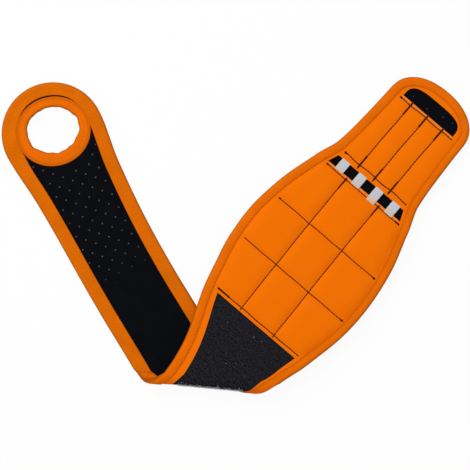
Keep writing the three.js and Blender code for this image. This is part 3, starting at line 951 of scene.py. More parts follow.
def near(finish, value, middle, half, blur):
    """1 where a value is within half a width of a middle, falling to 0 over a blur."""
    away = finish.add("ShaderNodeMath", {0: value, 1: middle}, operation="SUBTRACT")
    away = finish.add("ShaderNodeMath", {0: away}, operation="ABSOLUTE")
    span = {"Value": away, "From Min": half - blur, "From Max": half + blur, "To Min": 1, "To Max": 0}
    return finish.add("ShaderNodeMapRange", span)


def pale_hems_and_highlight(finish):
    """How pale the cloth is: the turned hems beside the slot and the half-moon window, their cut edge
    pale and lightened further by painted highlight.
    """
    parts = node(finish.tree, "ShaderNodeSeparateXYZ", {0: finish.flat}).outputs
    hems = []
    for seam, opening, half in HEMS:
        start = seam + HEM_CLEAR
        middle = (start + opening) / 2 + HALF_FOLD
        edge = near(finish, parts["X"], middle, (opening - start) / 2, HEM_BLURS[0])
        wide = near(finish, parts["Y"], 0, half, HEM_BLURS[1])
        hems.append(finish.add("ShaderNodeMath", {0: edge, 1: wide}, operation="MULTIPLY"))
    both = finish.add("ShaderNodeMath", {0: hems[0], 1: hems[1]}, operation="ADD")
    return finish.add("ShaderNodeMath", {0: both, 1: HEM_PALENESS}, operation="MULTIPLY")


def woven_polyester():
    """Orange plain weave, matt and even, with a fine grain and slow changes of tone. Its threads
    are half a millimetre apart, drawn twice as coarse here so that they show."""
    finish = Finish("woven_polyester", Roughness=0.9, Specular_IOR_Level=0.03)
    thread = 1.1
    patch = 16
    threads = {"Vector": finish.flat, "Scale": WAVE / thread}
    warp = finish.add("ShaderNodeTexWave", threads, "Fac", bands_direction="X")
    weft = finish.add("ShaderNodeTexWave", threads, "Fac", bands_direction="Y")
    weave = finish.add("ShaderNodeMath", {0: warp, 1: weft}, operation="MULTIPLY")
    dyed = mottled(finish, finish.flat, patch, "#e66800", "#f07102", 4)
    woven = finish.add("ShaderNodeMix", {"Factor": weave, LOW: dyed, HIGH: "#f07606"}, **MIX)
    # The hems' pale cut edge, lightened with painted highlight
    hem_paleness_mix = {"Factor": pale_hems_and_highlight(finish), LOW: woven, HIGH: "#e6a458"}
    return finish.wear(finish.add("ShaderNodeMix", hem_paleness_mix, **MIX), weave, depth=0.12, strength=0.5)


def knitted_tape():
    """Orange knitted tape: fine ribs across it, a more golden tone on the lining side, painted shade where
    it turns round the edge, and a band of painted shade from its lip to its stitching. Its ribs are half a
    millimetre apart, drawn twice as coarse here so that they show."""
    finish = Finish("knitted_tape", Roughness=0.9, Specular_IOR_Level=0.03)
    rib = 1.0
    patch = 14
    lining_start = -1
    lining_full = 3
    lip_shade_half = 1.3
    lip_shade_blur = 0.5
    edge_shade_full = 0.9
    edge_shade_end = 2.7
    turn_shade = 0.8
    ribbing = {"Vector": finish.flat, "Scale": WAVE / rib}
    ribs = finish.add("ShaderNodeTexWave", ribbing, "Fac", bands_direction="X")
    tone = finish.add("ShaderNodeTexNoise", {"Vector": finish.flat, "Scale": 1 / patch, "Detail": 5})
    face = finish.add("ShaderNodeMix", {"Factor": tone, LOW: "#cc6002", HIGH: "#f47003"}, **MIX)
    lining = finish.add("ShaderNodeMix", {"Factor": tone, LOW: "#bd5c02", HIGH: "#e56e03"}, **MIX)
    across = finish.add("ShaderNodeSeparateXYZ", {0: finish.flat}, "Y")
    off = finish.add("ShaderNodeMath", {0: across, 1: TAPE_FOLD}, operation="SUBTRACT")
    span = {"Value": off, "From Min": lining_start, "From Max": lining_full}
    on_lining = finish.add("ShaderNodeMapRange", span)
    knitted = finish.add("ShaderNodeMix", {"Factor": on_lining, LOW: face, HIGH: lining}, **MIX)
    # Painted shade: a darker band on the tape from its lip to its stitching
    lip_shade_mask = near(finish, across, 0, lip_shade_half, lip_shade_blur)
    sewn = finish.add("ShaderNodeMix", {"Factor": lip_shade_mask, LOW: knitted, HIGH: "#cb5f06"}, **MIX)
    # Painted shade: the tape darkens towards its rounded edge, where it turns away from the light
    away = finish.add("ShaderNodeMath", {0: off}, operation="ABSOLUTE")
    span = {"Value": away, "From Min": edge_shade_full, "From Max": edge_shade_end, "To Min": turn_shade, "To Max": 0}
    turned = finish.add("ShaderNodeMapRange", span)
    shaded = finish.add("ShaderNodeMix", {"Factor": turned, LOW: sewn, HIGH: "#954c06"}, **MIX)
    return finish.wear(shaded, ribs, depth=0.1, strength=0.5)


def skinned_neoprene():
    """Black foam rubber with a fine jersey skin: dull, faintly pebbled and a touch blue."""
    finish = Finish("skinned_neoprene", Roughness=0.9, Specular_IOR_Level=0.02)
    pebble = 1.2
    patch = 11
    pebbles = finish.add("ShaderNodeTexVoronoi", {"Vector": finish.flat, "Scale": 1 / pebble})
    skin = mottled(finish, finish.flat, patch, "#07080b", "#0e0f13", 4)
    return finish.wear(skin, pebbles, depth=0.15, strength=0.5)


def loop_fastener():
    """Charcoal brushed nylon loops: ribs across the band, soft and dusty, with painted highlight where
    broken loops catch the light. The ribs are a little under a millimetre apart, drawn coarser so
    that they show."""
    finish = Finish("loop_fastener", Roughness=0.95, Specular_IOR_Level=0.03)
    rib = 1.3
    tuft = 1.3
    tuft_start = 0.35
    tuft_full = 0.65
    wave = {"Vector": finish.flat, "Scale": WAVE / rib, "Distortion": 1.6, "Detail": 2, "Detail Scale": 2}
    ribs = finish.add("ShaderNodeTexWave", wave, "Fac", bands_direction="X")
    brushed = finish.add("ShaderNodeTexNoise", {"Vector": finish.flat, "Scale": 1 / tuft, "Detail": 4})
    span = {"Value": brushed, "From Min": tuft_start, "From Max": tuft_full}
    tufts = finish.add("ShaderNodeMapRange", span)
    pile = finish.add("ShaderNodeMath", {0: ribs, 1: tufts}, operation="MULTIPLY")
    # Painted highlight: the pile is lighter where its ribs and tufts catch the light
    dust_and_highlights = finish.add("ShaderNodeMix", {"Factor": pile, LOW: "#141418", HIGH: "#312f36"}, **MIX)
    return finish.wear(dust_and_highlights, pile, depth=0.3, strength=0.6)


def ribbed_elastic():
    """Pale grey knitted elastic: ribs along its length, and a faint painted reflection of the orange hem
    near it.
    """
    finish = Finish("ribbed_elastic", Roughness=0.85, Specular_IOR_Level=0.05)
    rib = 1.1
    reflection_reach = 5
    reflection_strength = 0.7
    ribbing = {"Vector": finish.flat, "Scale": WAVE / rib}
    ribs = finish.add("ShaderNodeTexWave", ribbing, "Fac", bands_direction="Y")
    grey = finish.add("ShaderNodeMix", {"Factor": ribs, LOW: "#b4b8bd", HIGH: "#cacdd1"}, **MIX)
    along = finish.add("ShaderNodeSeparateXYZ", {0: finish.flat}, "X")
    # Painted reflection: a warm tint from the orange hem, fading over a few millimetres from it
    hem = UPPER_SEAM + HALF_FOLD
    span = {"Value": along, "From Min": hem, "From Max": hem + reflection_reach, "To Min": reflection_strength, "To Max": 0}
    hem_reflection = finish.add("ShaderNodeMapRange", span)
    reflected_tint = finish.add("ShaderNodeMix", {"Factor": hem_reflection, LOW: grey, HIGH: "#d8ae84"}, **MIX)
    return finish.wear(reflected_tint, ribs, depth=0.15, strength=0.6)


def spun_thread(name, dark, light):
    """Twisted sewing thread: a slight gloss, and lighter where a strand comes to the top."""
    finish = Finish(name, Roughness=0.75, Specular_IOR_Level=0.06)
    strand = 0.5
    return finish.wear(mottled(finish, finish.place, strand * MM, dark, light))


def moulded_hooks():
    """Black nylon hook tape: smooth moulded plastic with a low gloss."""
    finish = Finish("moulded_hooks", Roughness=0.5, Specular_IOR_Level=0.35)
    grain = 2.5
    return finish.wear(mottled(finish, finish.place, grain * MM, "#101012", "#1d1d20"))


def nickel_plate():
    """Nickel-plated magnet blocks: a bright, slightly cloudy metal."""
    finish = Finish("nickel_plate", Metallic=1, Roughness=0.3)
    cloud = 4
    return finish.wear(mottled(finish, finish.place, cloud * MM, "#a8a7a3", "#c6c5c1", 4))


def lint_and_sheen():
    """Broken fibres worn out of the loops: dull, pale and dusty. Along the fold they also stand in for the
    sheen on its edge, as painted highlight.
    """
    finish = Finish("lint_and_sheen", Roughness=0.9, Specular_IOR_Level=0.05)
    speck = 3
    return finish.wear(mottled(finish, finish.place, speck * MM, "#a8abb0", "#eceef0"))


def perforation_grey():
    """The light backing that shows in the neoprene's punched holes: dull grey, uneven."""
    finish = Finish("perforation_grey", Roughness=0.9, Specular_IOR_Level=0.05)
    speck = 6
    return finish.wear(mottled(finish, finish.place, speck * MM, "#2e2f34", "#616267"))


cover_cloth = woven_polyester()
tape_cloth = knitted_tape()
neoprene = skinned_neoprene()
loops = loop_fastener()
elastic = ribbed_elastic()
brown_thread = spun_thread("brown_thread", "#4a1c02", "#6a2c04")
tack_thread = spun_thread("tack_thread", "#1a0802", "#331204")
orange_thread = spun_thread("orange_thread", "#c86206", "#d86a07")
pale_thread = spun_thread("pale_orange_thread", "#e66c04", "#f27406")
hooks = moulded_hooks()
nickel = nickel_plate()
lint = lint_and_sheen()
punched = perforation_grey()


# Geometry Nodes: stitches along a line, and small shapes on points


def tree_with(name, *inputs):
    """A new tree and the sockets of its named inputs."""
    tree = bpy.data.node_groups.new(name, "GeometryNodeTree")
    tree.interface.new_socket("Geometry", in_out="OUTPUT", socket_type="NodeSocketGeometry")
    for label, kind in (("Geometry", "Geometry"), ("Material", "Material"), *inputs):
        tree.interface.new_socket(label, in_out="INPUT", socket_type="NodeSocket" + kind)
    return tree, node(tree, "NodeGroupInput").outputs


def standing(tree, forward):
    """Turns a shape's z to the surface's up and its x to a direction."""
    up = node(tree, "GeometryNodeInputNamedAttribute", {"Name": "up"}, data_type="FLOAT_VECTOR")
    axes = {"Primary Axis": up.outputs["Attribute"], "Secondary Axis": forward}
    turn = {"primary_axis": "Z", "secondary_axis": "X"}
    return node(tree, "FunctionNodeAxesToRotation", axes, **turn).outputs[0]


def own_size(tree):
    """Each point's own size."""
    size = node(tree, "GeometryNodeInputNamedAttribute", {"Name": "size"}, data_type="FLOAT")
    return size.outputs["Attribute"]


def finish_tree(tree, given, laid):
    """Lays a shape on its points, as plain smooth faces of one material."""
    shapes = node(tree, "GeometryNodeInstanceOnPoints", laid)
    real = node(tree, "GeometryNodeRealizeInstances", {"Geometry": shapes.outputs[0]})
    smooth = node(tree, "GeometryNodeSetShadeSmooth", {"Geometry": real.outputs[0]})
    painted = {"Geometry": smooth.outputs[0], "Material": given["Material"]}
    made = node(tree, "GeometryNodeSetMaterial", painted)
    node(tree, "NodeGroupOutput", {"Geometry": made.outputs[0]})
    return tree


def stitch_tree():
    """Stitches of one size, at a pitch along the lines of a mesh."""
    tree, given = tree_with("stitch_run", ("Pitch", "Float"), ("Size", "Vector"))
    line = node(tree, "GeometryNodeMeshToCurve", {"Mesh": given["Geometry"]})
    spaced = {"Curve": line.outputs[0], "Length": given["Pitch"]}
    marks = node(tree, "GeometryNodeResampleCurve", spaced, mode="LENGTH")
    stitch = node(tree, "GeometryNodeMeshUVSphere", {"Segments": 8, "Rings": 5, "Radius": 0.5})
    along = node(tree, "GeometryNodeInputTangent").outputs[0]
    laid = {"Points": marks.outputs[0], "Instance": stitch.outputs[0], "Scale": given["Size"]}
    return finish_tree(tree, given, {**laid, "Rotation": standing(tree, along)})


def dot_tree():
    """Flat round dots on a mesh's points, each scaled by its own size."""
    tree, given = tree_with("perforations", ("Size", "Vector"))
    dot = node(tree, "GeometryNodeMeshUVSphere", {"Segments": 10, "Rings": 4, "Radius": 0.5})
    scale = {0: given["Size"], "Scale": own_size(tree)}
    sized = node(tree, "ShaderNodeVectorMath", scale, operation="SCALE").outputs[0]
    laid = {"Points": given["Geometry"], "Instance": dot.outputs[0], "Scale": sized}
    return finish_tree(tree, given, {**laid, "Rotation": standing(tree, (1, 0, 0))})


def fibre_tree():
    """Bent fibres on a mesh's points, turned and leaned at random."""
    sizes = [(label, "Float") for label in ("Radius", "Thickness", "Sweep")]
    tree, given = tree_with("fibres", *sizes, ("Lean", "Vector"), ("Seed", "Int"))
    arc = {"Resolution": 6, "Radius": given["Radius"], "Sweep Angle": given["Sweep"]}
    bend = node(tree, "GeometryNodeCurveArc", arc)
    stood = {"Geometry": bend.outputs[0], "Rotation": (math.pi / 2, 0, 0)}
    upright = node(tree, "GeometryNodeTransform", stood)
    section = node(tree, "GeometryNodeCurvePrimitiveCircle", {"Resolution": 4, "Radius": given["Thickness"]})
    tube = {"Curve": upright.outputs[0], "Profile Curve": section.outputs[0], "Fill Caps": True}
    fibre = node(tree, "GeometryNodeCurveToMesh", tube)
    least = node(tree, "ShaderNodeVectorMath", {0: given["Lean"], "Scale": -1}, operation="SCALE")
    spread = {0: least.outputs[0], 1: given["Lean"], "Seed": given["Seed"]}
    swing = node(tree, "FunctionNodeRandomValue", spread, data_type="FLOAT_VECTOR")
    turn = node(tree, "FunctionNodeEulerToRotation", {0: swing.outputs[0]})
    rotation = {"Rotation": standing(tree, (1, 0, 0)), "Rotate By": turn.outputs[0]}
    facing = node(tree, "FunctionNodeRotateRotation", rotation, rotation_space="LOCAL")
    laid = {"Points": given["Geometry"], "Instance": fibre.outputs[0], "Rotation": facing.outputs[0]}
    return finish_tree(tree, given, {**laid, "Scale": own_size(tree)})


STITCHES = stitch_tree()
DOTS = dot_tree()
FIBRES = fibre_tree()


def grow(name, tree, spots, ups, sizes=None, edges=(), **inputs):
    """Runs a tree on points with their own up and size, and keeps the result as a plain mesh."""
    mesh = bpy.data.meshes.new(name)
    mesh.from_pydata(np.array(spots) * MM, edges, [])
    facing = mesh.attributes.new("up", "FLOAT_VECTOR", "POINT")
    facing.data.foreach_set("vector", np.array(ups, np.float32).ravel())
    if sizes is not None:
        scale = mesh.attributes.new("size", "FLOAT", "POINT")
        scale.data.foreach_set("value", np.array(sizes, np.float32))
    piece = put(name, mesh)
    modifier = piece.modifiers.new(tree.name, "NODES")
    modifier.node_group = tree
    for item in tree.interface.items_tree:
        if item.in_out == "INPUT" and item.name in inputs:
            modifier[item.identifier] = inputs[item.name]
    shown = piece.evaluated_get(bpy.context.evaluated_depsgraph_get())
    piece.data = bpy.data.meshes.new_from_object(shown)
    piece.modifiers.clear()
    piece.data.name = name
    for key in ("up", "size"):
        if key in piece.data.attributes:
            piece.data.attributes.remove(piece.data.attributes[key])
    return piece


def sew(name, lines, material, pitch, size):
    """Stitches along lines, each of which is its points and the way that they face."""
    spots, ups, edges = [], [], []
    for points, up in lines:
        first = len(spots)
        spots.extend(points)
        ups.extend(np.broadcast_to(up, points.shape))
        edges.extend((first + i, first + i + 1) for i in range(len(points) - 1))
    lengths = tuple(part * MM for part in size)
    return grow(name, STITCHES, spots, ups, edges=edges, Material=material, Pitch=pitch * MM, Size=lengths)


# Sewn lines on the panel and the tape

SEAM_HIGH = COVER_HIGH + 0.1
SEAM_STEP = 2
KNOT = 1.3
THREAD_LIFT = 0.05

# How far lines of stitching wander across and along the panel, and how quickly
ACROSS_WANDER = 0.15
ACROSS_WAVE = 0.31
ALONG_WANDER = 0.12
ALONG_WAVE = 0.17

# The height of the tape's stitching on each face, and the way that it faces
SEWN_FACES = {"face": (BAND - TAPE_DENT + THREAD_LIFT, 1), "lining": (TAPE_DENT - THREAD_LIFT, -1)}


def across_seam(x, ends, wander=ACROSS_WANDER):
    """A line of stitching across the panel between its two ends, not quite straight."""
    y = steps(*ends, SEAM_STEP)
    wave = wander * np.sin(y * ACROSS_WAVE + x)
    return panel.place(x + wave, y, SEAM_HIGH), panel_up


def along_seam(y, start, stop, wander=ALONG_WANDER):
    """A line of stitching along the panel."""
    x = steps(start, stop, SEAM_STEP)
    wave = wander * np.sin(x * ALONG_WAVE + y)
    return panel.place(x, panel.lean(x) + y + wave, SEAM_HIGH), panel_up


def knot(x, y):
    """A short tack across the panel, where a line of stitching is fastened off."""
    return panel.place(np.array((x, x)), np.array((y - KNOT / 2, y + KNOT / 2)), SEAM_HIGH), panel_up


def edge_seam(limb, hand, start, stop, face):
    """The tape's stitching on one face, along one side."""
    x, y = limb.lay(steps(start, stop), limb.edge_rail(hand, TAPE_SEAM))
    height, way = SEWN_FACES[face]
    return limb.place(x, y, height), way * limb.axes[2]


def end_seam(limb, start, face):
    """The tape's stitching on one face, along both sides and round the end."""
    t = steps(start, limb.centre)
    left = limb.lay(t, limb.edge_rail(LEFT, TAPE_SEAM))
    right = limb.lay(t[::-1], limb.edge_rail(RIGHT, TAPE_SEAM))
    turn = limb.end(np.linspace(math.pi / 2, -math.pi / 2, END_STEPS)[1:-1], TAPE_SEAM)
    x, y = (np.concatenate(part) for part in zip(left, turn, right))
    height, way = SEWN_FACES[face]
    return limb.place(x, y, height), way * limb.axes[2]


def fold_seam(half, hand, face):
    """The tape's stitching on one face, round half of the fold."""
    height, way = SEWN_FACES[face]
    over = [(panel.edge_rail(hand, TAPE_SEAM), height)]
    under = [(strap.edge_rail(hand, TAPE_SEAM), height)]
    points = fold_run(half, over, under)[0][:, 0]
    out = (points - fold_axis) * (0, 1, 1)
    return points, way * out / np.linalg.norm(out, axis=-1)[:, None]


# Linings, loop fabric and tape of the strap and its thumb end


def line_with(name, place, *nodes, **shape):
    """A padded piece of the neoprene base."""
    piece = build(name, neoprene, **shape)
    dress(piece, place, "neoprene", *nodes)


def bind(name, place, *nodes, **shape):
    """A piece of the binding tape."""
    dress(build(name, tape_cloth, **shape), place, "binding_tape", *nodes)


def spread(name, material, place, slot, *nodes, runs=(), rings=()):
    """A sheet of cloth, made from its runs and rings."""
    piece = dress(build(name, material, runs, rings), place, slot, *nodes)
    cloth(piece, *runs, *rings)


line_with("strap_lining", "strap", "strap_base", runs=[slab(strap, 0, STRAP_SPLIT, *BASE_LAYER)])
line_with("thumb_lining", "thumb", "thumb_base", rings=[eye_slab(*BASE_LAYER)])
strap_face = past_fold("fold_lower", strap, STRAP_SPLIT, *LOOP_LAYER)
spread(
    "strap_loop_fabric", loops, "fold_lower", "loop_fabric", "strap_loop_face", "fold_loop_face",
    runs=[strap_face],
)
thumb_face = eye_slab(*LOOP_LAYER)
spread("thumb_loop_fabric", loops, "thumb", "loop_fabric", "thumb_loop_face", rings=[thumb_face])
strap_edges = ("strap_binding_left", "strap_binding_right", "thumb_edge_binding")
bind("strap_tape", "thumb", *strap_edges, runs=[end_tape(strap, 0)])
bind("thumb_ring", "thumb", "thumb_hole_binding", rings=[ring_tape()])

# The fold

for half in FOLD_HALVES:
    line_with(f"{half}_lining", half, "fold_base", runs=[fold_slab(half, *BASE_LAYER)])
    for side, hand in HANDS.items():
        tape = along_tape(fold_run(half, tape_columns(panel, hand), tape_columns(strap, hand))[0])
        bind(f"{half}_tape_{side}", half, f"fold_binding_{side}", runs=[tape])
        margin = build(f"{half}_margin_{side}", cover_cloth, [fold_margin(half, side, hand)])
        dress(margin, half, "orange_fabric")

# The panel's linings and tape

PANEL_SPANS = {
    "lower": (0, MIDDLE_SPLIT),
    "middle": (MIDDLE_SPLIT, UPPER_SPLIT),
    "upper": (UPPER_SPLIT, TONGUE_SPLIT),
}
for span, (start, stop) in PANEL_SPANS.items():
    line_with(f"{span}_lining", span, f"{span}_row_base", runs=[slab(panel, start, stop, *BASE_LAYER)])
    for side, hand in HANDS.items():
        tape = side_tape(panel, hand, start, stop)
        bind(f"{span}_tape_{side}", span, f"{span}_row_binding_{side}", runs=[tape])
line_with("tip_lining", "tip", "tongue_base", "tab_base", runs=[tip_slab(TONGUE_SPLIT, *BASE_LAYER)])
tip_edges = ("tongue_binding_left", "tongue_binding_right", "tab_binding")
bind("tip_tape", "tip", *tip_edges, runs=[end_tape(panel, TONGUE_SPLIT)])

# The loop patch and the orange cover

patch_face = past_fold("fold_upper", panel, PATCH_END + PATCH_TUCK, *LOOP_LAYER)
spread("patch_fabric", loops, "fold_upper", "loop_fabric", "loop_patch", "fold_loop_face", runs=[patch_face])

cells = (ROW_SEAMS, COLUMN_SEAMS, cell_height)
lower_parts = [cover(PATCH_END, MIDDLE_SPLIT, *cells)]
for side, hand in HANDS.items():
    rails = sheet(rails_across(margin_rails(side, hand)), *MARGIN_LAYER)
    lower_parts.append(run(panel, steps(0, PATCH_END), rails))
lower_nodes = ("lower_row_cover", "loop_margin_left", "loop_margin_right")
spread("lower_cover", cover_cloth, "lower", "orange_fabric", *lower_nodes, runs=lower_parts)

middle_part = cover(MIDDLE_SPLIT, UPPER_SPLIT, *cells)
spread("middle_cover", cover_cloth, "middle", "orange_fabric", "middle_row_cover", runs=[middle_part])

upper_parts = [cover(UPPER_SPLIT, SLOT_START, *cells)]
for hand in HANDS.values():
    upper_parts.append(side_strip(panel, hand, SLOT_START, UPPER_END, SLOT_MARGIN, FACE_LOW, COVER_HIGH))
spread("upper_cover", cover_cloth, "upper", "orange_fabric", "upper_row_cover", runs=upper_parts)

sleeves = ((SLEEVE_START, SLEEVE_END), SLEEVE_SEAMS, sleeve_height)
tongue_part = cover(UPPER_END, TONGUE_SPLIT, *sleeves)
spread("tongue_cover", cover_cloth, "upper", "orange_fabric", "tongue_sleeves", runs=[tongue_part])

tip_part = cover(TONGUE_SPLIT, SLEEVE_END, *sleeves)
moon_part = moon_slab(FACE_LOW, COVER_HIGH)
spread("tip_cover", cover_cloth, "tip", "orange_fabric", "tab_cover", runs=[tip_part], rings=[moon_part])

# Keeper tabs across the slot

for i, start in enumerate(KEEPER_STARTS):
    offset = (i - (len(KEEPER_STARTS) - 1) / 2) * KEEPER_PITCH + KEEPER_DRIFT
    tab = build(f"keeper_elastic_{i + 1}", elastic, [keeper(offset, start)])
    dress(tab, "upper", "elastic", f"keeper_tab_{i + 1}")

# Hook pad under the tip

hook_start = TONGUE_END + HOOK_SETBACK
hook_depth = TAB_CENTRE + TAB_ROUND - HOOK_MARGIN - hook_start
hook_half = TAB_WIDTH / 2 - HOOK_MARGIN
hook_shape = round_fill(hook_start, hook_depth, hook_half, HOOK_BASE, BASE_LOW + HOOK_SINK)
dress(build("hook_tape_base", hooks, [hook_shape]), "tip", "hook_tape", "hook_pad")
hook_rows = np.arange(hook_start + HOOK_CLEAR, hook_start + hook_depth, HOOK_PITCH)
hook_x, hook_y = np.meshgrid(hook_rows, np.arange(-hook_half, hook_half, HOOK_PITCH))
reach = ((hook_x - hook_start) / hook_depth) ** 2 + (hook_y / hook_half) ** 2
on_pad = reach < HOOK_COVER
hook_spots = panel.place(hook_x[on_pad], hook_y[on_pad], HOOK_BASE)
hook_pile = grow(
    "hook_tape_hooks", FIBRES, hook_spots, np.broadcast_to(-panel_up, hook_spots.shape),
    np.ones(len(hook_spots)), Material=hooks, Radius=0.26 * MM, Thickness=0.09 * MM,
    Sweep=math.radians(220), Lean=(0.1, 0.1, 0.3), Seed=4,
)
dress(hook_pile, "tip", "hook_tape")

# Stitching

SEAM_STITCH = (2.6, 0.95, 0.4)
SEAM_PITCH = 2.1
TACK_STITCH = (0.5, 1.6, 0.5)
TACK_PITCH = 0.42
TAPE_STITCH = (2.0, 0.5, 0.3)
TAPE_PITCH = 2.6
TACK_LENGTH = 7.5

# How far the lines along the panel start before a cross seam, and run on past one
CELL_LEAD = 0.7
CELL_OVERRUN = 0.5
SLEEVE_LEAD = 2
SLEEVE_OVERRUN = 1.6
TACK_OVERRUN = 0.8

# Where each line across the panel ends on the right and on the left, and how far some wander
row_ends = {
    LOOP_SECTION: (-36, 30.5),
    LOWER_END: (-43.6, 38.3),
    MIDDLE_END: (-41.7, 38.3),
    UPPER_SEAM: (-29.8, 29.3),
    SLEEVE_START: (-26, 25.3),
    SLEEVE_END: (-21, 21),
}
row_wander = {SLEEVE_START: 0.35, SLEEVE_END: 0.3}
line_spans = {
    "lower": (LOOP_SECTION - CELL_LEAD, MIDDLE_SPLIT),
    "middle": (MIDDLE_SPLIT, UPPER_SPLIT),
    "upper": (UPPER_SPLIT, TONGUE_SPLIT),
    "tip": (TONGUE_SPLIT, SLEEVE_END + SLEEVE_OVERRUN),
}
tacks = {
    "lower": [across_seam(LOOP_SECTION, (21.5, 31), 0), knot(LOWER_END, -43.4)],
    "middle": [knot(MIDDLE_END, -41.5), knot(MIDDLE_END, 38.2)],
    "upper": [across_seam(UPPER_SEAM, (-31.5, -28), 0), knot(UPPER_SEAM, 29.2), knot(SLEEVE_START, 25)],
    "tip": [knot(SLEEVE_END, 21)],
}
tack_lines = (
    ("upper", COLUMN_SEAMS, UPPER_SEAM - TACK_LENGTH, UPPER_SEAM + TACK_OVERRUN),
    ("upper", SLEEVE_SEAMS, SLEEVE_START - SLEEVE_LEAD, SLEEVE_START + TACK_LENGTH),
    ("tip", SLEEVE_SEAMS, SLEEVE_END - TACK_LENGTH, SLEEVE_END + SLEEVE_OVERRUN),
)
for span, seams, start, stop in tack_lines:
    tacks[span] += [along_seam(y, start, stop, 0) for y in seams]
for span, (start, stop) in line_spans.items():
    rows = [x for x in row_ends if start < x < stop]
    lines = [across_seam(x, row_ends[x], row_wander.get(x, ACROSS_WANDER)) for x in rows]
    if start < UPPER_SEAM:
        lines += [along_seam(y, start, min(stop, UPPER_SEAM + CELL_OVERRUN)) for y in COLUMN_SEAMS]
    if stop > SLEEVE_START:
        lines += [along_seam(y, max(start, SLEEVE_START - SLEEVE_LEAD), stop) for y in SLEEVE_SEAMS]
    dress(sew(f"{span}_stitching", lines, brown_thread, SEAM_PITCH, SEAM_STITCH), span, "orange_fabric")
    sewn = sew(f"{span}_bar_tacks", tacks[span], tack_thread, TACK_PITCH, TACK_STITCH)
    dress(sewn, span, "orange_fabric")

ring_line = ring_edge + ring_out * (ring_width * RING_SEAM_SHARE)[:, None]
ring_line = np.concatenate((ring_line, ring_line[:1]))
for face, thread in (("face", orange_thread), ("lining", pale_thread)):
    seams = {"tip": [end_seam(panel, TONGUE_SPLIT, face)], "thumb": [end_seam(strap, 0, face)]}
    for span, (start, stop) in PANEL_SPANS.items():
        seams[span] = [edge_seam(panel, hand, start, stop, face) for hand in HANDS.values()]
    for half in FOLD_HALVES:
        seams[half] = [fold_seam(half, hand, face) for hand in HANDS.values()]
    if face == "lining":
        seams["thumb"].append((strap.place(ring_line[:, 0], ring_line[:, 1], SEWN_FACES[face][0]), UP))
    for place, lines in seams.items():
        sewn = sew(f"{place}_{face}_tape_stitching", lines, thread, TAPE_PITCH, TAPE_STITCH)
        dress(sewn, place, "binding_tape")

# Perforations in the neoprene. On the strap they shrink away towards the fold, as painted shade there.

HOLE_PITCH = 9.6
HOLE_ROW = 4.75
HOLE_SIZE = (1.05, 1.05, 0.12)
HOLE_ROWS = 30
HOLE_COLUMNS = 40
FIRST_HOLE = (115.0, 20.3)
HOLE_TURN = math.radians(-3)
HOLE_MARGIN = 1.2
SMALLEST_HOLE = 0.25
STRAP_HOLES = 50
STRAP_SHADE_FADE = (68, 92)
PANEL_HOLES = 40
WINDOW_HOLES = np.array(((226.5, 15.5), (226, 3.5), (228.5, -8), (229.5, -15)))
WINDOW_HOLE_SIZE = 0.65


def perforations(limb, start, stop, shade_fade=None):
    """Staggered holes clear of the edges' tape, with their sizes."""
    row, column = (part.ravel() for part in np.mgrid[-HOLE_ROWS:HOLE_ROWS, -HOLE_COLUMNS:HOLE_COLUMNS])
    along = (column + row % 2 / 2) * HOLE_PITCH
    x = FIRST_HOLE[0] + along * math.cos(HOLE_TURN) - row * HOLE_ROW * math.sin(HOLE_TURN)
    y = FIRST_HOLE[1] + along * math.sin(HOLE_TURN) + row * HOLE_ROW * math.cos(HOLE_TURN)
    clear = limb.edge(x) - np.abs(y - limb.lean(x)) > LINING_FLANGE + HOLE_MARGIN
    # The holes shrink to nothing along the fade, as painted shade towards the fold
    sizes = np.ones(len(x)) if shade_fade is None else ease((x - shade_fade[0]) / (shade_fade[1] - shade_fade[0]))
    kept = clear & (x > start) & (x < stop) & (sizes > SMALLEST_HOLE)
    return np.stack((x, y), -1)[kept], sizes[kept]


def punch(name, limb, spots, sizes, place, height=BASE_LOW, way=-1):
    """Holes of their own sizes on the lining, or on another face at a height."""
    points = limb.place(spots[:, 0], spots[:, 1], height)
    ups = np.broadcast_to(way * limb.axes[2], points.shape)
    size = tuple(part * MM for part in HOLE_SIZE)
    dress(grow(name, DOTS, points, ups, sizes, Material=punched, Size=size), place, "neoprene")


spots, sizes = perforations(strap, STRAP_HOLES, STRAP_LENGTH, STRAP_SHADE_FADE)
off_ring = np.hypot(*(spots - ring_middle).T) > RING_RADIUS + RING_OVAL + HOLE_MARGIN
punch("strap_perforations", strap, spots[off_ring], sizes[off_ring], "thumb")
for span, (start, stop) in PANEL_SPANS.items():
    spots, sizes = perforations(panel, max(start, PANEL_HOLES), stop)
    punch(f"{span}_perforations", panel, spots, sizes, span)
spots, sizes = perforations(panel, TONGUE_SPLIT, hook_start - HOOK_CLEAR)
punch("tip_perforations", panel, spots, sizes, "tip")
window_sizes = np.full(len(WINDOW_HOLES), WINDOW_HOLE_SIZE)
punch("window_perforations", panel, WINDOW_HOLES, window_sizes, "end_tab", BASE_HIGH, 1)

# Lint along the fold, which also stands in for the sheen on its edge as painted highlight, and loose
# fibres on the patch: how many, their mean angle round the fold with its spread and limits, their
# sizes, how deep they are rooted and how far they stay from the edges
FUZZ_COUNT = 620
FUZZ_TURN = (78, 12)
FUZZ_LIMITS = (45, 104)
FUZZ_SIZES = (0.4, 1.2)
FUZZ_ROOT = 0.1
FUZZ_INSETS = {RIGHT: FACE_FLANGE + 7, LEFT: FACE_FLANGE + 2}
SPECK_COUNT = 9
SPECK_SPAN = (6, PATCH_END - 2)
SPECK_SIZES = (0.25, 0.8)
SPECK_INSET = 11

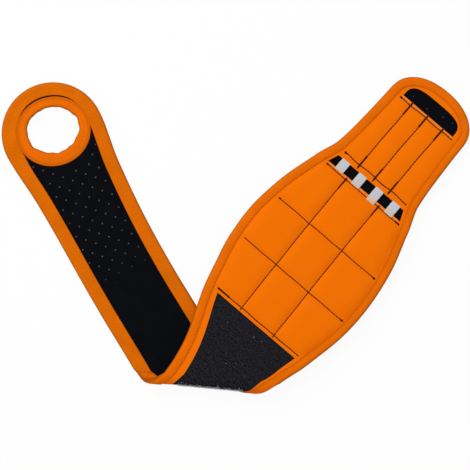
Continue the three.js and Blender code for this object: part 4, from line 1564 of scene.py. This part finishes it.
scatter = np.random.default_rng(7)
fuzz_turn = np.radians(np.clip(scatter.normal(*FUZZ_TURN, FUZZ_COUNT), *FUZZ_LIMITS))
loop_edge = [panel.lay(np.zeros(1), panel.edge_rail(*side)) for side in FUZZ_INSETS.items()]
ends = [panel.place(x, y, 0)[0][0] for x, y in loop_edge]
fuzz_along = scatter.uniform(min(ends), max(ends), FUZZ_COUNT)
fuzz_up = np.stack((0 * fuzz_turn, -np.sin(fuzz_turn), np.cos(fuzz_turn)), -1)
fuzz_reach = FOLD_BORE + LOOP_HIGH - FUZZ_ROOT + fold_fullness(fuzz_turn)
fuzz_spots = fuzz_up * fuzz_reach[:, None] + (0, fold_axis[1], fold_axis[2])
fuzz_spots[:, 0] = fuzz_along
fuzz_spots[:, 1] -= FOLD_BULGE * np.sin(fuzz_turn) ** 2
# Pale fibres at the fold's edge: real lint, and painted highlight for the sheen there
fuzz = grow(
    "fold_lint_and_sheen", FIBRES, fuzz_spots, fuzz_up, scatter.uniform(*FUZZ_SIZES, FUZZ_COUNT), Material=lint,
    Radius=0.6 * MM, Thickness=0.06 * MM, Sweep=math.radians(170), Lean=(0.5, 0.5, 3.1), Seed=11,
)
dress(fuzz, "fold_strip", "loop_fabric")
speck_x = scatter.uniform(*SPECK_SPAN, SPECK_COUNT)
speck_off = scatter.uniform(-1, 1, SPECK_COUNT) * (panel.edge(speck_x) - SPECK_INSET)
specks = panel.place(speck_x, panel.lean(speck_x) + speck_off, LOOP_HIGH)
flecks = grow(
    "patch_lint", FIBRES, specks, np.broadcast_to(panel_up, specks.shape),
    scatter.uniform(*SPECK_SIZES, SPECK_COUNT), Material=lint, Radius=0.7 * MM, Thickness=0.1 * MM,
    Sweep=math.radians(150), Lean=(1.3, 1.3, 3.1), Seed=5,
)
dress(flecks, "lower_panel", "loop_fabric")

# Magnets stay as the frame's own solids

for row in ("lower", "middle", "upper"):
    for column in ("left", "centre", "right"):
        magnet = frame["nodes"][f"{row}_row_magnet_{column}"]
        magnet.data.materials.clear()
        magnet.data.materials.append(nickel)

# Camera straight above, turned as the photograph is, on a white table

CAMERA_LENS = 300
SENSOR = 36
VIEW_WIDTH = 305.2
VIEW_MIDDLE = (6.15, -6.3)
VIEW_TURN = 5.5
MID_HEIGHT = 7

# How far the camera sees, the table and the lamp, in metres
CAMERA_REACH = 20
TABLE_HALF = 3
TABLE_DROP = 0.0003
LAMP_SIZE = 1.2
LAMP_PLACE = (-0.75, 0.68, 1.3)

# The table's paint and how much of it shows as plain white, the sky's light, and the lamp's power
# and its turn towards the part
TABLE_PAINT = (0.85, 0.85, 0.85, 1)
TABLE_WHITE = 0.93
SKY_LIGHT = 0.62
LAMP_POWER = 17
LAMP_TURN = (math.radians(-27), math.radians(-27), 0)

camera_data = bpy.data.cameras.new("camera")
camera_data.lens = CAMERA_LENS
camera_data.sensor_width = SENSOR
camera_data.clip_end = CAMERA_REACH
camera = put("camera", camera_data)
camera.location = np.array((*VIEW_MIDDLE, MID_HEIGHT + VIEW_WIDTH * CAMERA_LENS / SENSOR)) * MM
camera.rotation_euler = (0, 0, math.radians(VIEW_TURN))
bpy.context.scene.camera = camera


def seen_rays(tree):
    """1 on rays that the eye follows straight, or by way of metal or glass."""
    path = node(tree, "ShaderNodeLightPath").outputs
    shiny = {0: path["Is Glossy Ray"], 1: path["Is Transmission Ray"]}
    either = node(tree, "ShaderNodeMath", shiny, operation="MAXIMUM").outputs[0]
    rays = {0: path["Is Camera Ray"], 1: either}
    return node(tree, "ShaderNodeMath", rays, operation="MAXIMUM").outputs[0]


def white_table():
    """A white surface that stays white to the eye and keeps a soft shadow."""
    material = bpy.data.materials.new("white_table")
    material.use_nodes = True
    tree = material.node_tree
    paint = tree.nodes["Principled BSDF"]
    paint.inputs["Base Color"].default_value = TABLE_PAINT
    paint.inputs["Roughness"].default_value = 0.9
    glow = node(tree, "ShaderNodeEmission", {"Color": (1, 1, 1, 1), "Strength": 1})
    share = {0: seen_rays(tree), 1: TABLE_WHITE}
    white = node(tree, "ShaderNodeMath", share, operation="MULTIPLY").outputs[0]
    mixed = node(tree, "ShaderNodeMixShader", {0: white, 1: paint.outputs[0], 2: glow.outputs[0]})
    tree.links.new(mixed.outputs[0], tree.nodes["Material Output"].inputs["Surface"])
    return material


table_mesh = bpy.data.meshes.new("table")
table_square = np.array(((-1, -1, 0), (1, -1, 0), (1, 1, 0), (-1, 1, 0))) * TABLE_HALF
table_mesh.from_pydata(table_square - (0, 0, TABLE_DROP), [], [(0, 1, 2, 3)])
table_mesh.materials.append(white_table())
table = put("table", table_mesh)

world = bpy.data.worlds.new("studio")
world.use_nodes = True
bpy.context.scene.world = world
sky = world.node_tree.nodes["Background"]
strength = {"Value": seen_rays(world.node_tree), "To Min": SKY_LIGHT, "To Max": 1}
lift = node(world.node_tree, "ShaderNodeMapRange", strength)
world.node_tree.links.new(lift.outputs["Result"], sky.inputs["Strength"])
sky.inputs["Color"].default_value = (1, 1, 1, 1)

lamp_data = bpy.data.lights.new("soft_box", "AREA")
lamp_data.energy = LAMP_POWER
lamp_data.size = LAMP_SIZE
lamp = put("soft_box", lamp_data)
lamp.location = LAMP_PLACE
lamp.rotation_euler = LAMP_TURN

bpy.context.scene.view_settings.view_transform = "Standard"
